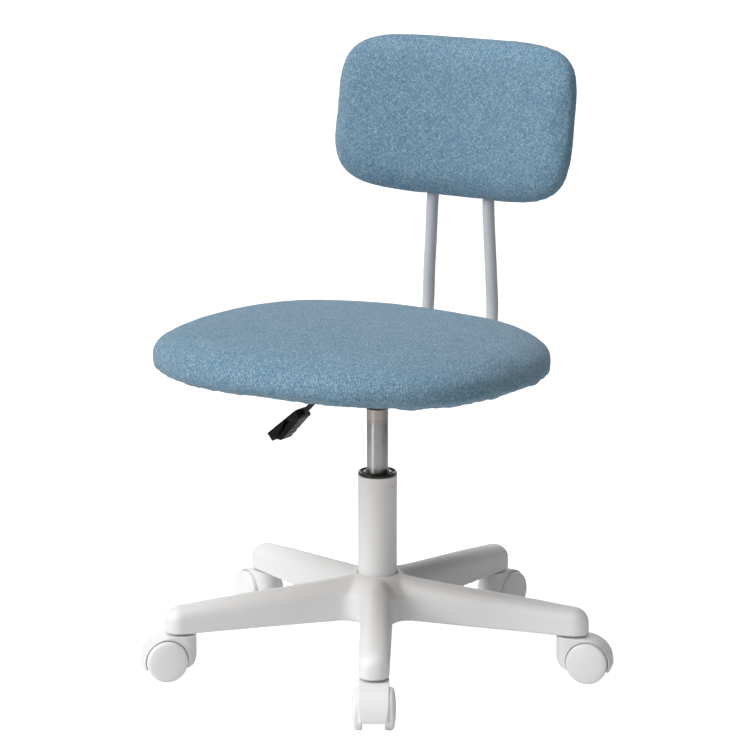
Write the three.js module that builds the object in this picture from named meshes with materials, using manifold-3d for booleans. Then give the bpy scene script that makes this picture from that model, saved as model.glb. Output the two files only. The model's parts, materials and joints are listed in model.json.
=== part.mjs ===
// Five-legged swivel chair with a gas lift, an upholstered seat and a separate upholstered backrest on two bent tubes.
// Millimetres, +Z up, -Y towards the front of the seat, +X towards the sitter's left.
import * as THREE from "three";
import { mergeVertices } from "three/addons/utils/BufferGeometryUtils.js";
import Module from "manifold-3d";

const wasm = await Module();
wasm.setup();
const DEG = Math.PI / 180;

// ---------------------------------------------------------------- driving dimensions
// The chair is drawn about the lift column's axis, then moved so that the origin is under the middle of the whole chair.
const COLUMN_X = -4.805; // column axis from the middle of the chair's box
const COLUMN_Y = -20.584;

// base
const LEG_COUNT = 5;
const FIRST_LEG = 32.59; // degrees from straight ahead, towards the sitter's left
const PIVOT_R = 261.8; // caster stems' circle
const LEG_BOTTOM = 65;
const LEG_TIP = 283.6;
const LEG_WALL = 4;
const FILLET_R = 22; // inside corner between two legs
const HUB_R = 35;
const HUB_TOP = 122.5;
const SOCKET_R = 6.1;
const SOCKET_TOP = 92;

// casters, in their own frame: x along the trail, y along the axle, z up
const WHEEL_R = 26.5;
const WHEEL_Z = 30.8;
const FLOOR = WHEEL_Z - WHEEL_R;
const WHEEL_SIDES = 20;
const TRAIL = 22.5;
const CASTER_TURNS = [0, 7, 0, 0, -3]; // degrees each caster stands off straight out, at rest
const AXLE_R = 3;
const WHEEL_IN = 14.2; // inner face of a wheel from the middle
const WHEEL_OUT = 27.4;
const WEB_HALF = 13.7; // half-thickness of the hood between its wheels
const HOOD_HALF = 19;
const HOOD_TOP = 61.8;
const STEM_R = 5.5;

// lift
const COLUMN_R = 25.3;
const COLUMN_BOTTOM = 58;
const COLUMN_TOP = 251.7;
const CYLINDER_R = 14;
const CYLINDER_BOTTOM = 168;
const CYLINDER_TOP = 384;
const TAPER_Z = 341; // where the cylinder enters the seat's socket
const ROD_R = 5;
const GAP = 0.3;

// seat
const SEAT_W = 495.3;
const SEAT_D = 419.2;
const SEAT_N = 2.47; // exponent of the seat's rounded outline
const SEAT_Y = -58.9; // middle of the seat ahead of the column
const SEAT_Z = 414.3; // the seat's widest level
const SEAT_RISE = 51.5;
const SEAT_DROP = 15.9;
const SEAT_BOARD = [400.2, 408.2];
const SEAT_BOARD_INSET = 26;

// seat mechanism
const PLATE_TOP = 399.9;
const PLATE_T = 2.5;
const PLATE_HALF_X = 60;
const PLATE_HALF_Y = 75;
const CHANNEL_HALF = 30.5;
const WEB_BOTTOM = 365.5;
const PLATE_BOLT_X = 45;
const PLATE_BOLT_Y = 55;
const LEVER_PIVOT = [-45, 387];

// backrest
const BACK_W = 357;
const BACK_H = 213;
const BACK_N = 4.27;
const BACK_Y = 213;
const BACK_Z = 688.6;
const BACK_LEAN = 10.04; // degrees
const BACK_CURVE = 0.00195; // 1 / radius of the curve round the sitter
const BACK_FRONT = 32;
const BACK_REAR = 13;
const TUBE_R = 8;
const TUBE_WALL = 1.5;
const TUBE_SCREWS_Y = [92, 113];
const BACK_SCREWS_UP = [-62, -8]; // along the backrest from its middle
const BACK_TUBE_X = 42;
const BACK_TUBE_DEPTH = 2; // tube axis behind the backrest's middle surface

// ---------------------------------------------------------------- finishes
const FINISH = {
  white_plastic: { color: 0xe9e9ea, roughness: 0.5, metalness: 0 },
  white_paint: { color: 0xe6e6e7, roughness: 0.42, metalness: 0.05 },
  grey_paint: { color: 0xd4d4da, roughness: 0.4, metalness: 0.1 },
  black_plastic: { color: 0x141414, roughness: 0.5, metalness: 0 },
  black_paint: { color: 0x1b1b1c, roughness: 0.45, metalness: 0.2 },
  steel: { color: 0xb9bbbd, roughness: 0.25, metalness: 1 },
  dark_steel: { color: 0x55585b, roughness: 0.4, metalness: 1 },
  rubber: { color: 0x1d1d1d, roughness: 0.9, metalness: 0 },
  board: { color: 0xb08a5c, roughness: 0.8, metalness: 0 },
  fabric: { color: 0x6f93ad, roughness: 0.95, metalness: 0 },
};

// ---------------------------------------------------------------- solids
function solid(geometry) {
  const g = geometry.index ? geometry.toNonIndexed() : geometry.clone();
  for (const key of Object.keys(g.attributes))
    if (key !== "position") g.deleteAttribute(key);
  const merged = mergeVertices(g, 1e-3);
  const found = merged.index.array;
  const build = (flip) => {
    const tri = [];
    for (let i = 0; i < found.length; i += 3) {
      const [a, b, c] = [found[i], found[i + 1], found[i + 2]];
      if (a !== b && b !== c && a !== c)
        tri.push(a, flip ? c : b, flip ? b : c);
    }
    return new wasm.Manifold(
      new wasm.Mesh({
        numProp: 3,
        vertProperties: new Float32Array(merged.attributes.position.array),
        triVerts: new Uint32Array(tri),
      }),
    );
  };
  const made = build(false);
  return made.volume() < 0 ? build(true) : made;
}

function named(name, body, finish) {
  const m = body.getMesh();
  const g = new THREE.BufferGeometry();
  g.setAttribute(
    "position",
    new THREE.BufferAttribute(new Float32Array(m.vertProperties), 3),
  );
  g.setIndex(new THREE.BufferAttribute(new Uint32Array(m.triVerts), 1));
  g.computeVertexNormals();
  const mesh = new THREE.Mesh(
    g,
    new THREE.MeshStandardMaterial(FINISH[finish]),
  );
  mesh.name = name;
  return mesh;
}

// A profile of [radius, height] turned about a vertical axis through (x, y).
function turned(points, sides = 24, x = 0, y = 0, phase = 0) {
  const g = new THREE.LatheGeometry(
    points.map(([r, z]) => new THREE.Vector2(r, z)),
    sides,
    phase,
  );
  g.rotateX(Math.PI / 2).translate(x, y, 0);
  return solid(g);
}

function closed(points) {
  return [...points, points[0]];
}

function box(x0, x1, y0, y1, z0, z1) {
  const g = new THREE.BoxGeometry(x1 - x0, y1 - y0, z1 - z0);
  return solid(g.translate((x0 + x1) / 2, (y0 + y1) / 2, (z0 + z1) / 2));
}

// A round bar from one point to another.
function bar(from, to, r, sides = 16) {
  const a = new THREE.Vector3(...from);
  const b = new THREE.Vector3(...to);
  const g = new THREE.CylinderGeometry(r, r, a.distanceTo(b), sides);
  g.applyQuaternion(
    new THREE.Quaternion().setFromUnitVectors(
      new THREE.Vector3(0, 1, 0),
      b.clone().sub(a).normalize(),
    ),
  );
  const m = a.add(b).multiplyScalar(0.5);
  return solid(g.translate(m.x, m.y, m.z));
}

function shapeOf(points) {
  return new THREE.Shape(points.map(([x, y]) => new THREE.Vector2(x, y)));
}

// A plan outline raised from z0 to z1.
function raised(points, z0, z1) {
  const g = new THREE.ExtrudeGeometry(shapeOf(points), {
    depth: z1 - z0,
    bevelEnabled: false,
  });
  return solid(g.translate(0, 0, z0));
}

// A side outline of [x, z] drawn out along y.
function drawnY(points, y0, y1) {
  const g = new THREE.ExtrudeGeometry(shapeOf(points), {
    depth: y1 - y0,
    bevelEnabled: false,
  });
  g.rotateX(Math.PI / 2).translate(0, y1, 0);
  return solid(g);
}

function roundTube(points, r, inner, sides, steps) {
  const ring = new THREE.Shape();
  for (let i = 0; i < sides; i++) {
    const a = (i / sides) * 2 * Math.PI;
    const [x, y] = [r * Math.cos(a), r * Math.sin(a)];
    if (i) ring.lineTo(x, y);
    else ring.moveTo(x, y);
  }
  ring.closePath();
  if (inner) {
    const hole = new THREE.Path();
    for (let i = 0; i < sides; i++) {
      const a = (-i / sides) * 2 * Math.PI;
      const [x, y] = [inner * Math.cos(a), inner * Math.sin(a)];
      if (i) hole.lineTo(x, y);
      else hole.moveTo(x, y);
    }
    hole.closePath();
    ring.holes.push(hole);
  }
  const path = new THREE.CatmullRomCurve3(
    points.map((p) => new THREE.Vector3(...p)),
    false,
    "centripetal",
  );
  return solid(
    new THREE.ExtrudeGeometry(ring, { steps, extrudePath: path }),
  );
}

const power = (v, e) => Math.sign(v) * Math.abs(v) ** e;

// A closed lens: rings of [share of the outline, height], each on the rounded outline, from one pole to the other.
function lens(rings, sides, w, d, n, place) {
  const g = new THREE.SphereGeometry(1, sides, rings.length - 1);
  const p = g.attributes.position;
  rings.forEach(([u, height], i) => {
    for (let j = 0; j <= sides; j++) {
      const a = ((j % sides) / sides) * 2 * Math.PI;
      const x = ((u * w) / 2) * power(Math.cos(a), 2 / n);
      const y = ((u * d) / 2) * power(Math.sin(a), 2 / n);
      p.setXYZ(i * (sides + 1) + j, ...place(x, y, height));
    }
  });
  return solid(g);
}

const dome = (u, m) => Math.max(0, 1 - u ** m) ** (1 / m);

const chair = new THREE.Group();
const onColumn = new THREE.Group();
onColumn.position.set(COLUMN_X, COLUMN_Y, -FLOOR);
chair.add(onColumn);
const add = (name, body, finish) => onColumn.add(named(name, body, finish));

// ---------------------------------------------------------------- star base
// Height of a leg's crest along it: it falls from the hub to the tip and rounds down at the end.
function crest(u) {
  const table = [
    [0, 121],
    [36, 120.5],
    [60, 117],
    [100, 113],
    [150, 109],
    [200, 105],
    [240, 101],
    [262, 99],
  ];
  const TIP_START = 262;
  if (u <= TIP_START) {
    const i = Math.max(
      1,
      table.findIndex(([x]) => x >= u),
    );
    const [x0, z0] = table[i - 1];
    const [x1, z1] = table[i];
    return z0 + ((z1 - z0) * (u - x0)) / (x1 - x0);
  }
  const t = (u - TIP_START) / (LEG_TIP + 0.9 - TIP_START);
  return 78 + 21 * Math.sqrt(Math.max(0, 1 - t * t));
}

function halfWidth(u) {
  const w = 20.5 - (1.3 * u) / 260;
  if (u < 265) return w;
  const t = (u - 265) / (LEG_TIP + 0.6 - 265);
  return w * Math.sqrt(Math.max(0, 1 - t * t));
}

// A leg's section is an arch on a flat underside. The inset one is the hollow under it.
function leg(stations, inset) {
  const ARCH = inset ? 3 : 6;
  const section = [
    [-1, -1],
    [1, -1],
  ];
  for (let i = 0; i <= ARCH; i++) {
    const a = (i / ARCH) * Math.PI;
    section.push([Math.cos(a), Math.sin(a)]);
  }
  const g = new THREE.ExtrudeGeometry(shapeOf(section), {
    depth: 1,
    steps: stations.length - 1,
    bevelEnabled: false,
  });
  const p = g.attributes.position;
  for (let i = 0; i < p.count; i++) {
    const u = stations[Math.round(p.getZ(i) * (stations.length - 1))];
    const top = crest(u) - inset;
    const half = halfWidth(u) - inset;
    const side = LEG_BOTTOM + (top - LEG_BOTTOM) * 0.56; // where the straight side turns into the arch
    const v = p.getX(i) * half;
    const z =
      p.getY(i) < -0.5
        ? LEG_BOTTOM - (inset ? 5 : 0)
        : side + Math.max(0, p.getY(i)) * (top - side);
    p.setXYZ(i, u, v, z);
  }
  return solid(g);
}

function star() {
  const stations = [
    12, 60, 150, 262, 271, 278, 282, LEG_TIP,
  ];
  const hollowStations = [50, 240];
  let body = turned(
    [
      [0, LEG_BOTTOM],
      [HUB_R, LEG_BOTTOM],
      [HUB_R, 112],
      [34, 118],
      [31.5, 121.5],
      [29, HUB_TOP],
      [0, HUB_TOP],
    ],
    24,
  );
  let hollow = null;
  let sockets = null;
  const centre = (20.5 - 0.3 + FILLET_R) / Math.sin(36 * DEG);
  for (let k = 0; k < LEG_COUNT; k++) {
    const turn = (FIRST_LEG - 90 + 72 * k) * DEG;
    const at = (body) => body.rotate([0, 0, turn / DEG]);
    body = body.add(at(leg(stations, 0)));
    const inner = at(leg(hollowStations, LEG_WALL));
    hollow = hollow ? hollow.add(inner) : inner;
    const socket = at(
      turned(
        [
          [0, 60],
          [SOCKET_R, 60],
          [SOCKET_R, SOCKET_TOP],
          [0, SOCKET_TOP],
        ],
        10,
        PIVOT_R,
        0,
      ),
    );
    sockets = sockets ? sockets.add(socket) : socket;
    // the inside corner: a web between two legs, hollowed by the fillet's arc
    const corner = [[6, 4.4]];
    const dir = 36 * DEG;
    const c = [centre * Math.cos(dir), centre * Math.sin(dir)];
    for (let i = 0; i <= 5; i++) {
      const a = (-90 - (i / 5) * 108) * DEG;
      corner.push([
        c[0] + FILLET_R * Math.cos(a),
        c[1] + FILLET_R * Math.sin(a),
      ]);
    }
    body = body.add(at(raised(corner, LEG_BOTTOM, 99)));
  }
  const bore = turned(
    [
      [0, 55],
      [23.9, 55],
      [25.3, 118],
      [25.6, 119.6],
      [27.6, 121],
      [27.6, 130],
      [0, 130],
    ],
    20,
  );
  return body.subtract(hollow).subtract(sockets).subtract(bore);
}
add("star_base", star(), "white_plastic");

// ---------------------------------------------------------------- lift
add(
  "outer_column",
  turned(
    closed([
      [5.6, COLUMN_BOTTOM],
      [23.5, COLUMN_BOTTOM],
      [25, 118],
      [COLUMN_R, 124],
      [COLUMN_R, COLUMN_TOP - 1],
      [COLUMN_R - 0.8, COLUMN_TOP],
      [22.8, COLUMN_TOP],
      [22.8, 62],
      [5.6, 62],
    ]),
    20,
  ),
  "white_paint",
);
add(
  "column_bush",
  turned(
    closed([
      [CYLINDER_R + GAP, 178],
      [22.5, 178],
      [22.5, 252],
      [24.5, 252],
      [24.5, 255.3],
      [23.6, 256.3],
      [17.5, 256.3],
      [CYLINDER_R + GAP, 254.6],
    ]),
    20,
  ),
  "black_plastic",
);
const washer = (inner, outer, z0, z1, sides = 12) =>
  turned(
    closed([
      [inner, z0],
      [outer, z0],
      [outer, z1],
      [inner, z1],
    ]),
    sides,
  );
add("bearing_lower_race", washer(5.6, 13, 62.3, 64.3), "steel");
add("bearing_ball_cage", washer(6, 12.5, 64.6, 67.6), "steel");
add("bearing_upper_race", washer(4.4, 13, 67.9, 69.9), "steel");
add("bump_stop", washer(ROD_R + 0.4, 12.5, 71, 86), "rubber");
add(
  "piston_rod",
  turned(
    [
      [0, 52],
      [4, 52],
      [4, 55.9],
      [3.2, 55.9],
      [3.2, 58],
      [4, 58],
      [4, 70.2],
      [ROD_R, 70.2],
      [ROD_R, 184.8],
      [0, 184.8],
    ],
    10,
  ),
  "steel",
);
add(
  "rod_clip",
  washer(3.6, 8, 56.2, 57.7, 12).subtract(box(0, 12, -2.6, 2.6, 50, 60)),
  "dark_steel",
);
add(
  "piston",
  turned(
    [
      [0, 185.1],
      [11.9, 185.1],
      [11.9, 193.1],
      [0, 193.1],
    ],
    12,
  ),
  "dark_steel",
);
add(
  "gas_cylinder",
  turned(
    closed([
      [ROD_R + 0.4, CYLINDER_BOTTOM],
      [13, CYLINDER_BOTTOM],
      [CYLINDER_R, CYLINDER_BOTTOM + 1.5],
      [CYLINDER_R, 326],
      [CYLINDER_R - 0.05, TAPER_Z],
      [13.3, CYLINDER_TOP],
      [3.4, CYLINDER_TOP],
      [3.4, 374],
      [12.2, 374],
      [12.2, 176],
      [ROD_R + 0.4, 176],
    ]),
    20,
  ),
  "steel",
);
add(
  "release_button",
  turned(
    [
      [0, 370],
      [3, 370],
      [3, 387.3],
      [2.4, 387.8],
      [0, 387.8],
    ],
    8,
  ),
  "dark_steel",
);

// ---------------------------------------------------------------- seat mechanism
const inner = CHANNEL_HALF - PLATE_T;
const webTop = WEB_BOTTOM + PLATE_T;
const flange = PLATE_TOP - PLATE_T;
function plate() {
  const hat = [
    [-PLATE_HALF_Y, PLATE_TOP],
    [-PLATE_HALF_Y, flange],
    [-CHANNEL_HALF, flange],
    [-CHANNEL_HALF, WEB_BOTTOM],
    [CHANNEL_HALF, WEB_BOTTOM],
    [CHANNEL_HALF, flange],
    [PLATE_HALF_Y, flange],
    [PLATE_HALF_Y, PLATE_TOP],
    [inner, PLATE_TOP],
    [inner, webTop],
    [-inner, webTop],
    [-inner, PLATE_TOP],
  ];
  let body = drawnY(hat, -PLATE_HALF_X, PLATE_HALF_X).rotate([0, 0, 90]);
  body = body.subtract(bar([0, 0, 350], [0, 0, 380], 17.6, 16));
  for (const x of [-PLATE_BOLT_X, PLATE_BOLT_X])
    for (const y of [-PLATE_BOLT_Y, PLATE_BOLT_Y])
      body = body.subtract(bar([x, y, 390], [x, y, 405], 3.6, 8));
  const [px, pz] = LEVER_PIVOT;
  return body.subtract(bar([px, -40, pz], [px, 40, pz], 3.5, 8));
}
add("seat_plate", plate(), "black_paint");
add(
  "taper_socket",
  turned(
    closed([
      [CYLINDER_R + 0.33, TAPER_Z],
      [16, TAPER_Z],
      [17, TAPER_Z + 4],
      [17, webTop + GAP],
      [24, webTop + GAP],
      [24, webTop + 3.5],
      [17, webTop + 3.5],
      [16.4, 378],
      [13.85, 378],
    ]),
    20,
  ),
  "black_paint",
);
const spots = [
  ["front_left", 1, -1],
  ["front_right", -1, -1],
  ["rear_left", 1, 1],
  ["rear_right", -1, 1],
];
for (const [place, sx, sy] of spots)
  add(
    `plate_screw_${place}`,
    turned(
      [
        [0, 393.4],
        [5.4, 393.4],
        [5.8, 394.6],
        [5.8, 397.1],
        [3, 397.1],
        [3, 405],
        [0, 405],
      ],
      8,
      sx * PLATE_BOLT_X,
      sy * PLATE_BOLT_Y,
    ),
    "dark_steel",
  );

// ---------------------------------------------------------------- lever
const GRIP_TOP = [-113.5, 320.1]; // x, z where the bar enters the grip
const GRIP_DIR = [-0.775, -0.632];
const GRIP_L = 63;
const GRIP_W = 28;
const GRIP_T = 12.6;
const BAR_R = 3.5;
const along = (s) => [
  GRIP_TOP[0] + GRIP_DIR[0] * s,
  0,
  GRIP_TOP[1] + GRIP_DIR[1] * s,
];
const [pivotX, pivotZ] = LEVER_PIVOT;
add(
  "lever_bar",
  roundTube(
    [
      [8, 0, 392.2],
      [-20, 0, 390.6],
      [pivotX, 0, pivotZ],
      [-56, 0, 381.4],
      [-66.5, 0, 371.6],
      [-85, 0, 349.6],
      along(0),
      along(14),
      along(28),
    ],
    BAR_R,
    0,
    8,
    12,
  )
    .add(bar([pivotX, -12, pivotZ], [pivotX, 12, pivotZ], 6.5, 12))
    .subtract(bar([pivotX, -20, pivotZ], [pivotX, 20, pivotZ], 3.5, 8)),
  "black_paint",
);
add(
  "lever_pin",
  bar([pivotX, -32.4, pivotZ], [pivotX, 31.4, pivotZ], 3, 8).add(
    bar([pivotX, -32.4, pivotZ], [pivotX, -30.8, pivotZ], 4.6, 8),
  ),
  "dark_steel",
);
function grip() {
  const r = 5;
  const outline = new THREE.Shape();
  const [x0, x1, w] = [0, GRIP_L, GRIP_W / 2];
  outline.moveTo(x0 + 7, -w);
  outline.lineTo(x1 - r, -w);
  outline.absarc(x1 - r, -w + r, r, -Math.PI / 2, 0, false);
  outline.absarc(x1 - r, w - r, r, 0, Math.PI / 2, false);
  outline.lineTo(x0 + 7, w);
  outline.absarc(x0 + 7, w - 7, 7, Math.PI / 2, Math.PI, false);
  outline.absarc(x0 + 7, -w + 7, 7, Math.PI, 1.5 * Math.PI, false);
  const g = new THREE.ExtrudeGeometry(outline, {
    depth: GRIP_T - 3,
    bevelEnabled: true,
    bevelThickness: 1.5,
    bevelSize: 1.5,
    bevelOffset: -1.5,
    bevelSegments: 1,
    curveSegments: 3,
  });
  g.translate(0, 0, -(GRIP_T - 3) / 2);
  const m = new THREE.Matrix4().makeBasis(
    new THREE.Vector3(GRIP_DIR[0], 0, GRIP_DIR[1]),
    new THREE.Vector3(0, 1, 0),
    new THREE.Vector3(-GRIP_DIR[1], 0, GRIP_DIR[0]),
  );
  g.applyMatrix4(m).translate(GRIP_TOP[0], 0, GRIP_TOP[1]);
  return solid(g).subtract(bar(along(-8), along(29), BAR_R + 0.6, 8));
}
add("lever_grip", grip(), "black_plastic");

// ---------------------------------------------------------------- seat board and cushion
const seatPlace = (x, y, z) => [x, y + SEAT_Y, z];
const plateHoles = [];
for (const [, sx, sy] of spots)
  plateHoles.push(
    bar(
      [sx * PLATE_BOLT_X, sy * PLATE_BOLT_Y, 390],
      [sx * PLATE_BOLT_X, sy * PLATE_BOLT_Y, 405.5],
      3.6,
      8,
    ),
  );
const SEAT_TUBE_X = 51;
const tubeHoles = [];
for (const sx of [1, -1])
  for (const y of TUBE_SCREWS_Y)
    tubeHoles.push(
      bar([sx * SEAT_TUBE_X, y, 390], [sx * SEAT_TUBE_X, y, 406.5], 3, 8),
    );
const seatBoard = lens(
  [
    [0, SEAT_BOARD[0]],
    [1, SEAT_BOARD[0]],
    [1, SEAT_BOARD[1]],
    [0, SEAT_BOARD[1]],
  ],
  32,
  SEAT_W - 2 * SEAT_BOARD_INSET,
  SEAT_D - 2 * SEAT_BOARD_INSET,
  SEAT_N,
  seatPlace,
);
add(
  "seat_board",
  [...plateHoles, ...tubeHoles].reduce((a, b) => a.subtract(b), seatBoard),
  "board",
);
const seatRings = [];
for (const u of [0, 0.87, 0.97])
  seatRings.push([u, SEAT_Z - SEAT_DROP * dome(u, 5.11)]);
for (const u of [1, 0.985, 0.94, 0.86, 0.7, 0.4, 0])
  seatRings.push([u, SEAT_Z + SEAT_RISE * dome(u, 2.73)]);
const seatPocket = lens(
  [
    [0, 380],
    [1, 380],
    [1, SEAT_BOARD[1] + GAP],
    [0, SEAT_BOARD[1] + GAP],
  ],
  32,
  SEAT_W - 2 * SEAT_BOARD_INSET + 0.8,
  SEAT_D - 2 * SEAT_BOARD_INSET + 0.8,
  SEAT_N,
  seatPlace,
);
add(
  "seat_cushion",
  lens(seatRings, 40, SEAT_W, SEAT_D, SEAT_N, seatPlace).subtract(seatPocket),
  "fabric",
);

// ---------------------------------------------------------------- back tubes, board and cushion
const lean = BACK_LEAN * DEG;
// A point of the backrest's own frame: x across, up along it, out behind its middle surface.
const backPlace = (x, up, out) => {
  const o = out - (BACK_CURVE * x * x) / 2;
  return [
    x,
    o * Math.cos(lean) + up * Math.sin(lean) + BACK_Y,
    -o * Math.sin(lean) + up * Math.cos(lean) + BACK_Z,
  ];
};
const tubeAt = (side, up) => {
  const p = backPlace(0, up, BACK_TUBE_DEPTH);
  return [side * BACK_TUBE_X, p[1], p[2]];
};
function tubePath(side, extra) {
  const z = SEAT_BOARD[0] - GAP - TUBE_R;
  const path = [
    [side * SEAT_TUBE_X, 84 - extra, z],
    [side * SEAT_TUBE_X, 118, z],
    [side * SEAT_TUBE_X, 153, z],
  ];
  for (const a of [22.5, 45, 67.5, 90])
    path.push([
      side * (SEAT_TUBE_X - a / 100),
      153 + 45 * Math.sin(a * DEG),
      z + 45 * (1 - Math.cos(a * DEG)),
    ]);
  path.push(
    [side * 48, 197.8, 489],
    [side * 45.4, 197.6, 534],
    [side * 43.4, 197.5, 576],
  );
  path.push(tubeAt(side, -78), tubeAt(side, -30), tubeAt(side, 16 + extra));
  return path;
}
const backTubes = [];
for (const [name, side] of [
  ["left", 1],
  ["right", -1],
]) {
  let tube = roundTube(
    tubePath(side, 0),
    TUBE_R,
    TUBE_R - TUBE_WALL,
    8,
    14,
  );
  const x = side * SEAT_TUBE_X;
  for (const y of TUBE_SCREWS_Y)
    tube = tube
      .subtract(bar([x, y, 375], [x, y, 391], 4.8, 8))
      .subtract(bar([x, y, 391], [x, y, 405], 3, 8));
  for (const up of BACK_SCREWS_UP) {
    const p = (out) => {
      const q = backPlace(0, up, out);
      return [side * BACK_TUBE_X, q[1], q[2]];
    };
    tube = tube
      .subtract(bar(p(2), p(14), 4.8, 8))
      .subtract(bar(p(-9), p(2), 2.7, 8));
  }
  backTubes.push([name, side]);
  add(`back_tube_${name}`, tube, "grey_paint");
}
const screw = (from, to, head, r) => {
  const v = new THREE.Vector3(...to).sub(new THREE.Vector3(...from));
  const cap = v.clone().setLength(3);
  return bar(from, to, r, 8).add(
    bar(
      from,
      [from[0] + cap.x, from[1] + cap.y, from[2] + cap.z],
      head,
      8,
    ),
  );
};
for (const [name, side] of backTubes) {
  ["front", "rear"].forEach((place, i) => {
    const [x, y] = [side * SEAT_TUBE_X, TUBE_SCREWS_Y[i]];
    add(
      `tube_screw_${place}_${name}`,
      screw([x, y, 393.2], [x, y, 406], 4.2, 2.5),
      "dark_steel",
    );
  });
  ["lower", "upper"].forEach((place, i) => {
    const p = (out) => {
      const q = backPlace(0, BACK_SCREWS_UP[i], out);
      return [side * BACK_TUBE_X, q[1], q[2]];
    };
    add(
      `back_screw_${place}_${name}`,
      screw(p(0.6), p(-11.2), 4.2, 2.1),
      "dark_steel",
    );
  });
}
const BOARD_W = BACK_W - 46;
const BOARD_H = BACK_H - 46;
const steps = [0.6, 1];
const slab = (grow, y0, y1) =>
  lens(
    [
      [0, y0 - grow],
      ...steps.map((u) => [u, y0 - grow]),
      ...steps
        .slice()
        .reverse()
        .map((u) => [u, y1 + grow]),
      [0, y1 + grow],
    ],
    24,
    BOARD_W + 2 * grow,
    BOARD_H + 2 * grow,
    BACK_N,
    backPlace,
  );
let backBoard = slab(0, -10.9, -4.9);
for (const side of [1, -1])
  for (const up of BACK_SCREWS_UP) {
    const p = (out) => {
      const q = backPlace(0, up, out);
      return [side * BACK_TUBE_X, q[1], q[2]];
    };
    backBoard = backBoard.subtract(bar(p(-11.6), p(0), 2.8, 8));
  }
add("back_board", backBoard, "board");
const backRings = [[0, -BACK_FRONT]];
for (const u of [0.5, 0.8, 0.94, 0.99])
  backRings.push([u, -BACK_FRONT * dome(u, 3.5)]);
backRings.push([1, 0]);
for (const u of [0.975, 0.88, 0.6, 0])
  backRings.push([u, BACK_REAR * dome(u, 3.2)]);
let backPad = lens(
  backRings,
  36,
  BACK_W,
  BACK_H,
  BACK_N,
  backPlace,
).subtract(slab(0.4, -10.9, -4.9));
for (const [, side] of backTubes)
  backPad = backPad.subtract(
    roundTube(tubePath(side, 1.5).slice(8), TUBE_R + 0.9, 0, 8, 5),
  );
for (const [, side] of backTubes)
  for (const up of BACK_SCREWS_UP) {
    const p = (out) => {
      const q = backPlace(0, up, out);
      return [side * BACK_TUBE_X, q[1], q[2]];
    };
    backPad = backPad.subtract(bar(p(-9), p(0), 2.9, 8));
  }
add("back_cushion", backPad, "fabric");

// ---------------------------------------------------------------- casters
function hood() {
  const plan = new THREE.Shape();
  const end = TRAIL + 30.3;
  plan.moveTo(0, -HOOD_HALF);
  plan.lineTo(end - 4, -HOOD_HALF);
  plan.absarc(end - 4, -HOOD_HALF + 4, 4, -Math.PI / 2, 0, false);
  plan.absarc(end - 4, HOOD_HALF - 4, 4, 0, Math.PI / 2, false);
  plan.lineTo(0, HOOD_HALF);
  plan.absarc(0, 0, HOOD_HALF, Math.PI / 2, 1.5 * Math.PI, false);
  const g = new THREE.ExtrudeGeometry(plan, {
    depth: HOOD_TOP - 4,
    bevelEnabled: false,
    curveSegments: 5,
  });
  const planBody = solid(g.translate(0, 0, 4));
  const side = [
    [-30, HOOD_TOP],
    [-30, 38.5],
    [-19, 36.5],
    [-16, 27],
    [-6, 21],
    [-2, 19.5],
    [49.6, 19.5],
    [52, 21.8],
    [52.8, 28],
    [51, 37],
    [46.4, 46],
    [38.6, 54],
    [28, 59.6],
    [16, HOOD_TOP],
  ];
  let body = planBody.intersect(drawnY(side, -40, 40));
  for (const s of [1, -1])
    body = body.subtract(
      bar(
        [TRAIL, s * WEB_HALF, WHEEL_Z],
        [TRAIL, s * 40, WHEEL_Z],
        WHEEL_R + 1.1,
        20,
      ),
    );
  return body
    .subtract(bar([0, 0, 29.6], [0, 0, 70], STEM_R + 0.5, 10))
    .subtract(bar([TRAIL, -30, WHEEL_Z], [TRAIL, 30, WHEEL_Z], AXLE_R + 0.5, 8));
}

function wheel(side) {
  // flats on the tread, one of them level on the floor
  const k = 1 / Math.cos(Math.PI / WHEEL_SIDES);
  const profile = [
    [0, 24],
    [AXLE_R + 0.4, 24],
    [AXLE_R + 0.4, WHEEL_IN],
    [WHEEL_R * k, WHEEL_IN],
    [WHEEL_R * k, 20.6],
    [(WHEEL_R - 4.5) * k, 25.2],
    [0, WHEEL_OUT],
  ];
  const g = new THREE.LatheGeometry(
    profile.map(([r, s]) => new THREE.Vector2(r, side * s)),
    WHEEL_SIDES,
    Math.PI / WHEEL_SIDES,
  );
  return solid(g.translate(TRAIL, 0, WHEEL_Z));
}

const stem = () =>
  turned(
    [
      [0, 30],
      [STEM_R, 30],
      [STEM_R, 62.1],
      [8.5, 62.1],
      [8.5, 64.7],
      [STEM_R, 64.7],
      [STEM_R, 91],
      [0, 91],
    ],
    10,
  );

["front_left", "left", "rear", "right", "front_right"].forEach((place, k) => {
  const caster = new THREE.Group();
  const turn = (FIRST_LEG - 90 + 72 * k) * DEG;
  caster.position.set(PIVOT_R * Math.cos(turn), PIVOT_R * Math.sin(turn), 0);
  caster.rotation.z = turn + CASTER_TURNS[k] * DEG;
  const name = `caster_${place}`;
  caster.add(named(`${name}_hood`, hood(), "white_plastic"));
  caster.add(named(`${name}_stem`, stem(), "dark_steel"));
  caster.add(
    named(
      `${name}_axle`,
      bar([TRAIL, -23.6, WHEEL_Z], [TRAIL, 23.6, WHEEL_Z], AXLE_R, 8),
      "steel",
    ),
  );
  caster.add(named(`${name}_wheel_a`, wheel(1), "white_plastic"));
  caster.add(named(`${name}_wheel_b`, wheel(-1), "white_plastic"));
  onColumn.add(caster);
});

export default chair;
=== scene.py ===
import json
import math

import bmesh
import bpy
import numpy as np
from mathutils import Matrix, Vector


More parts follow.
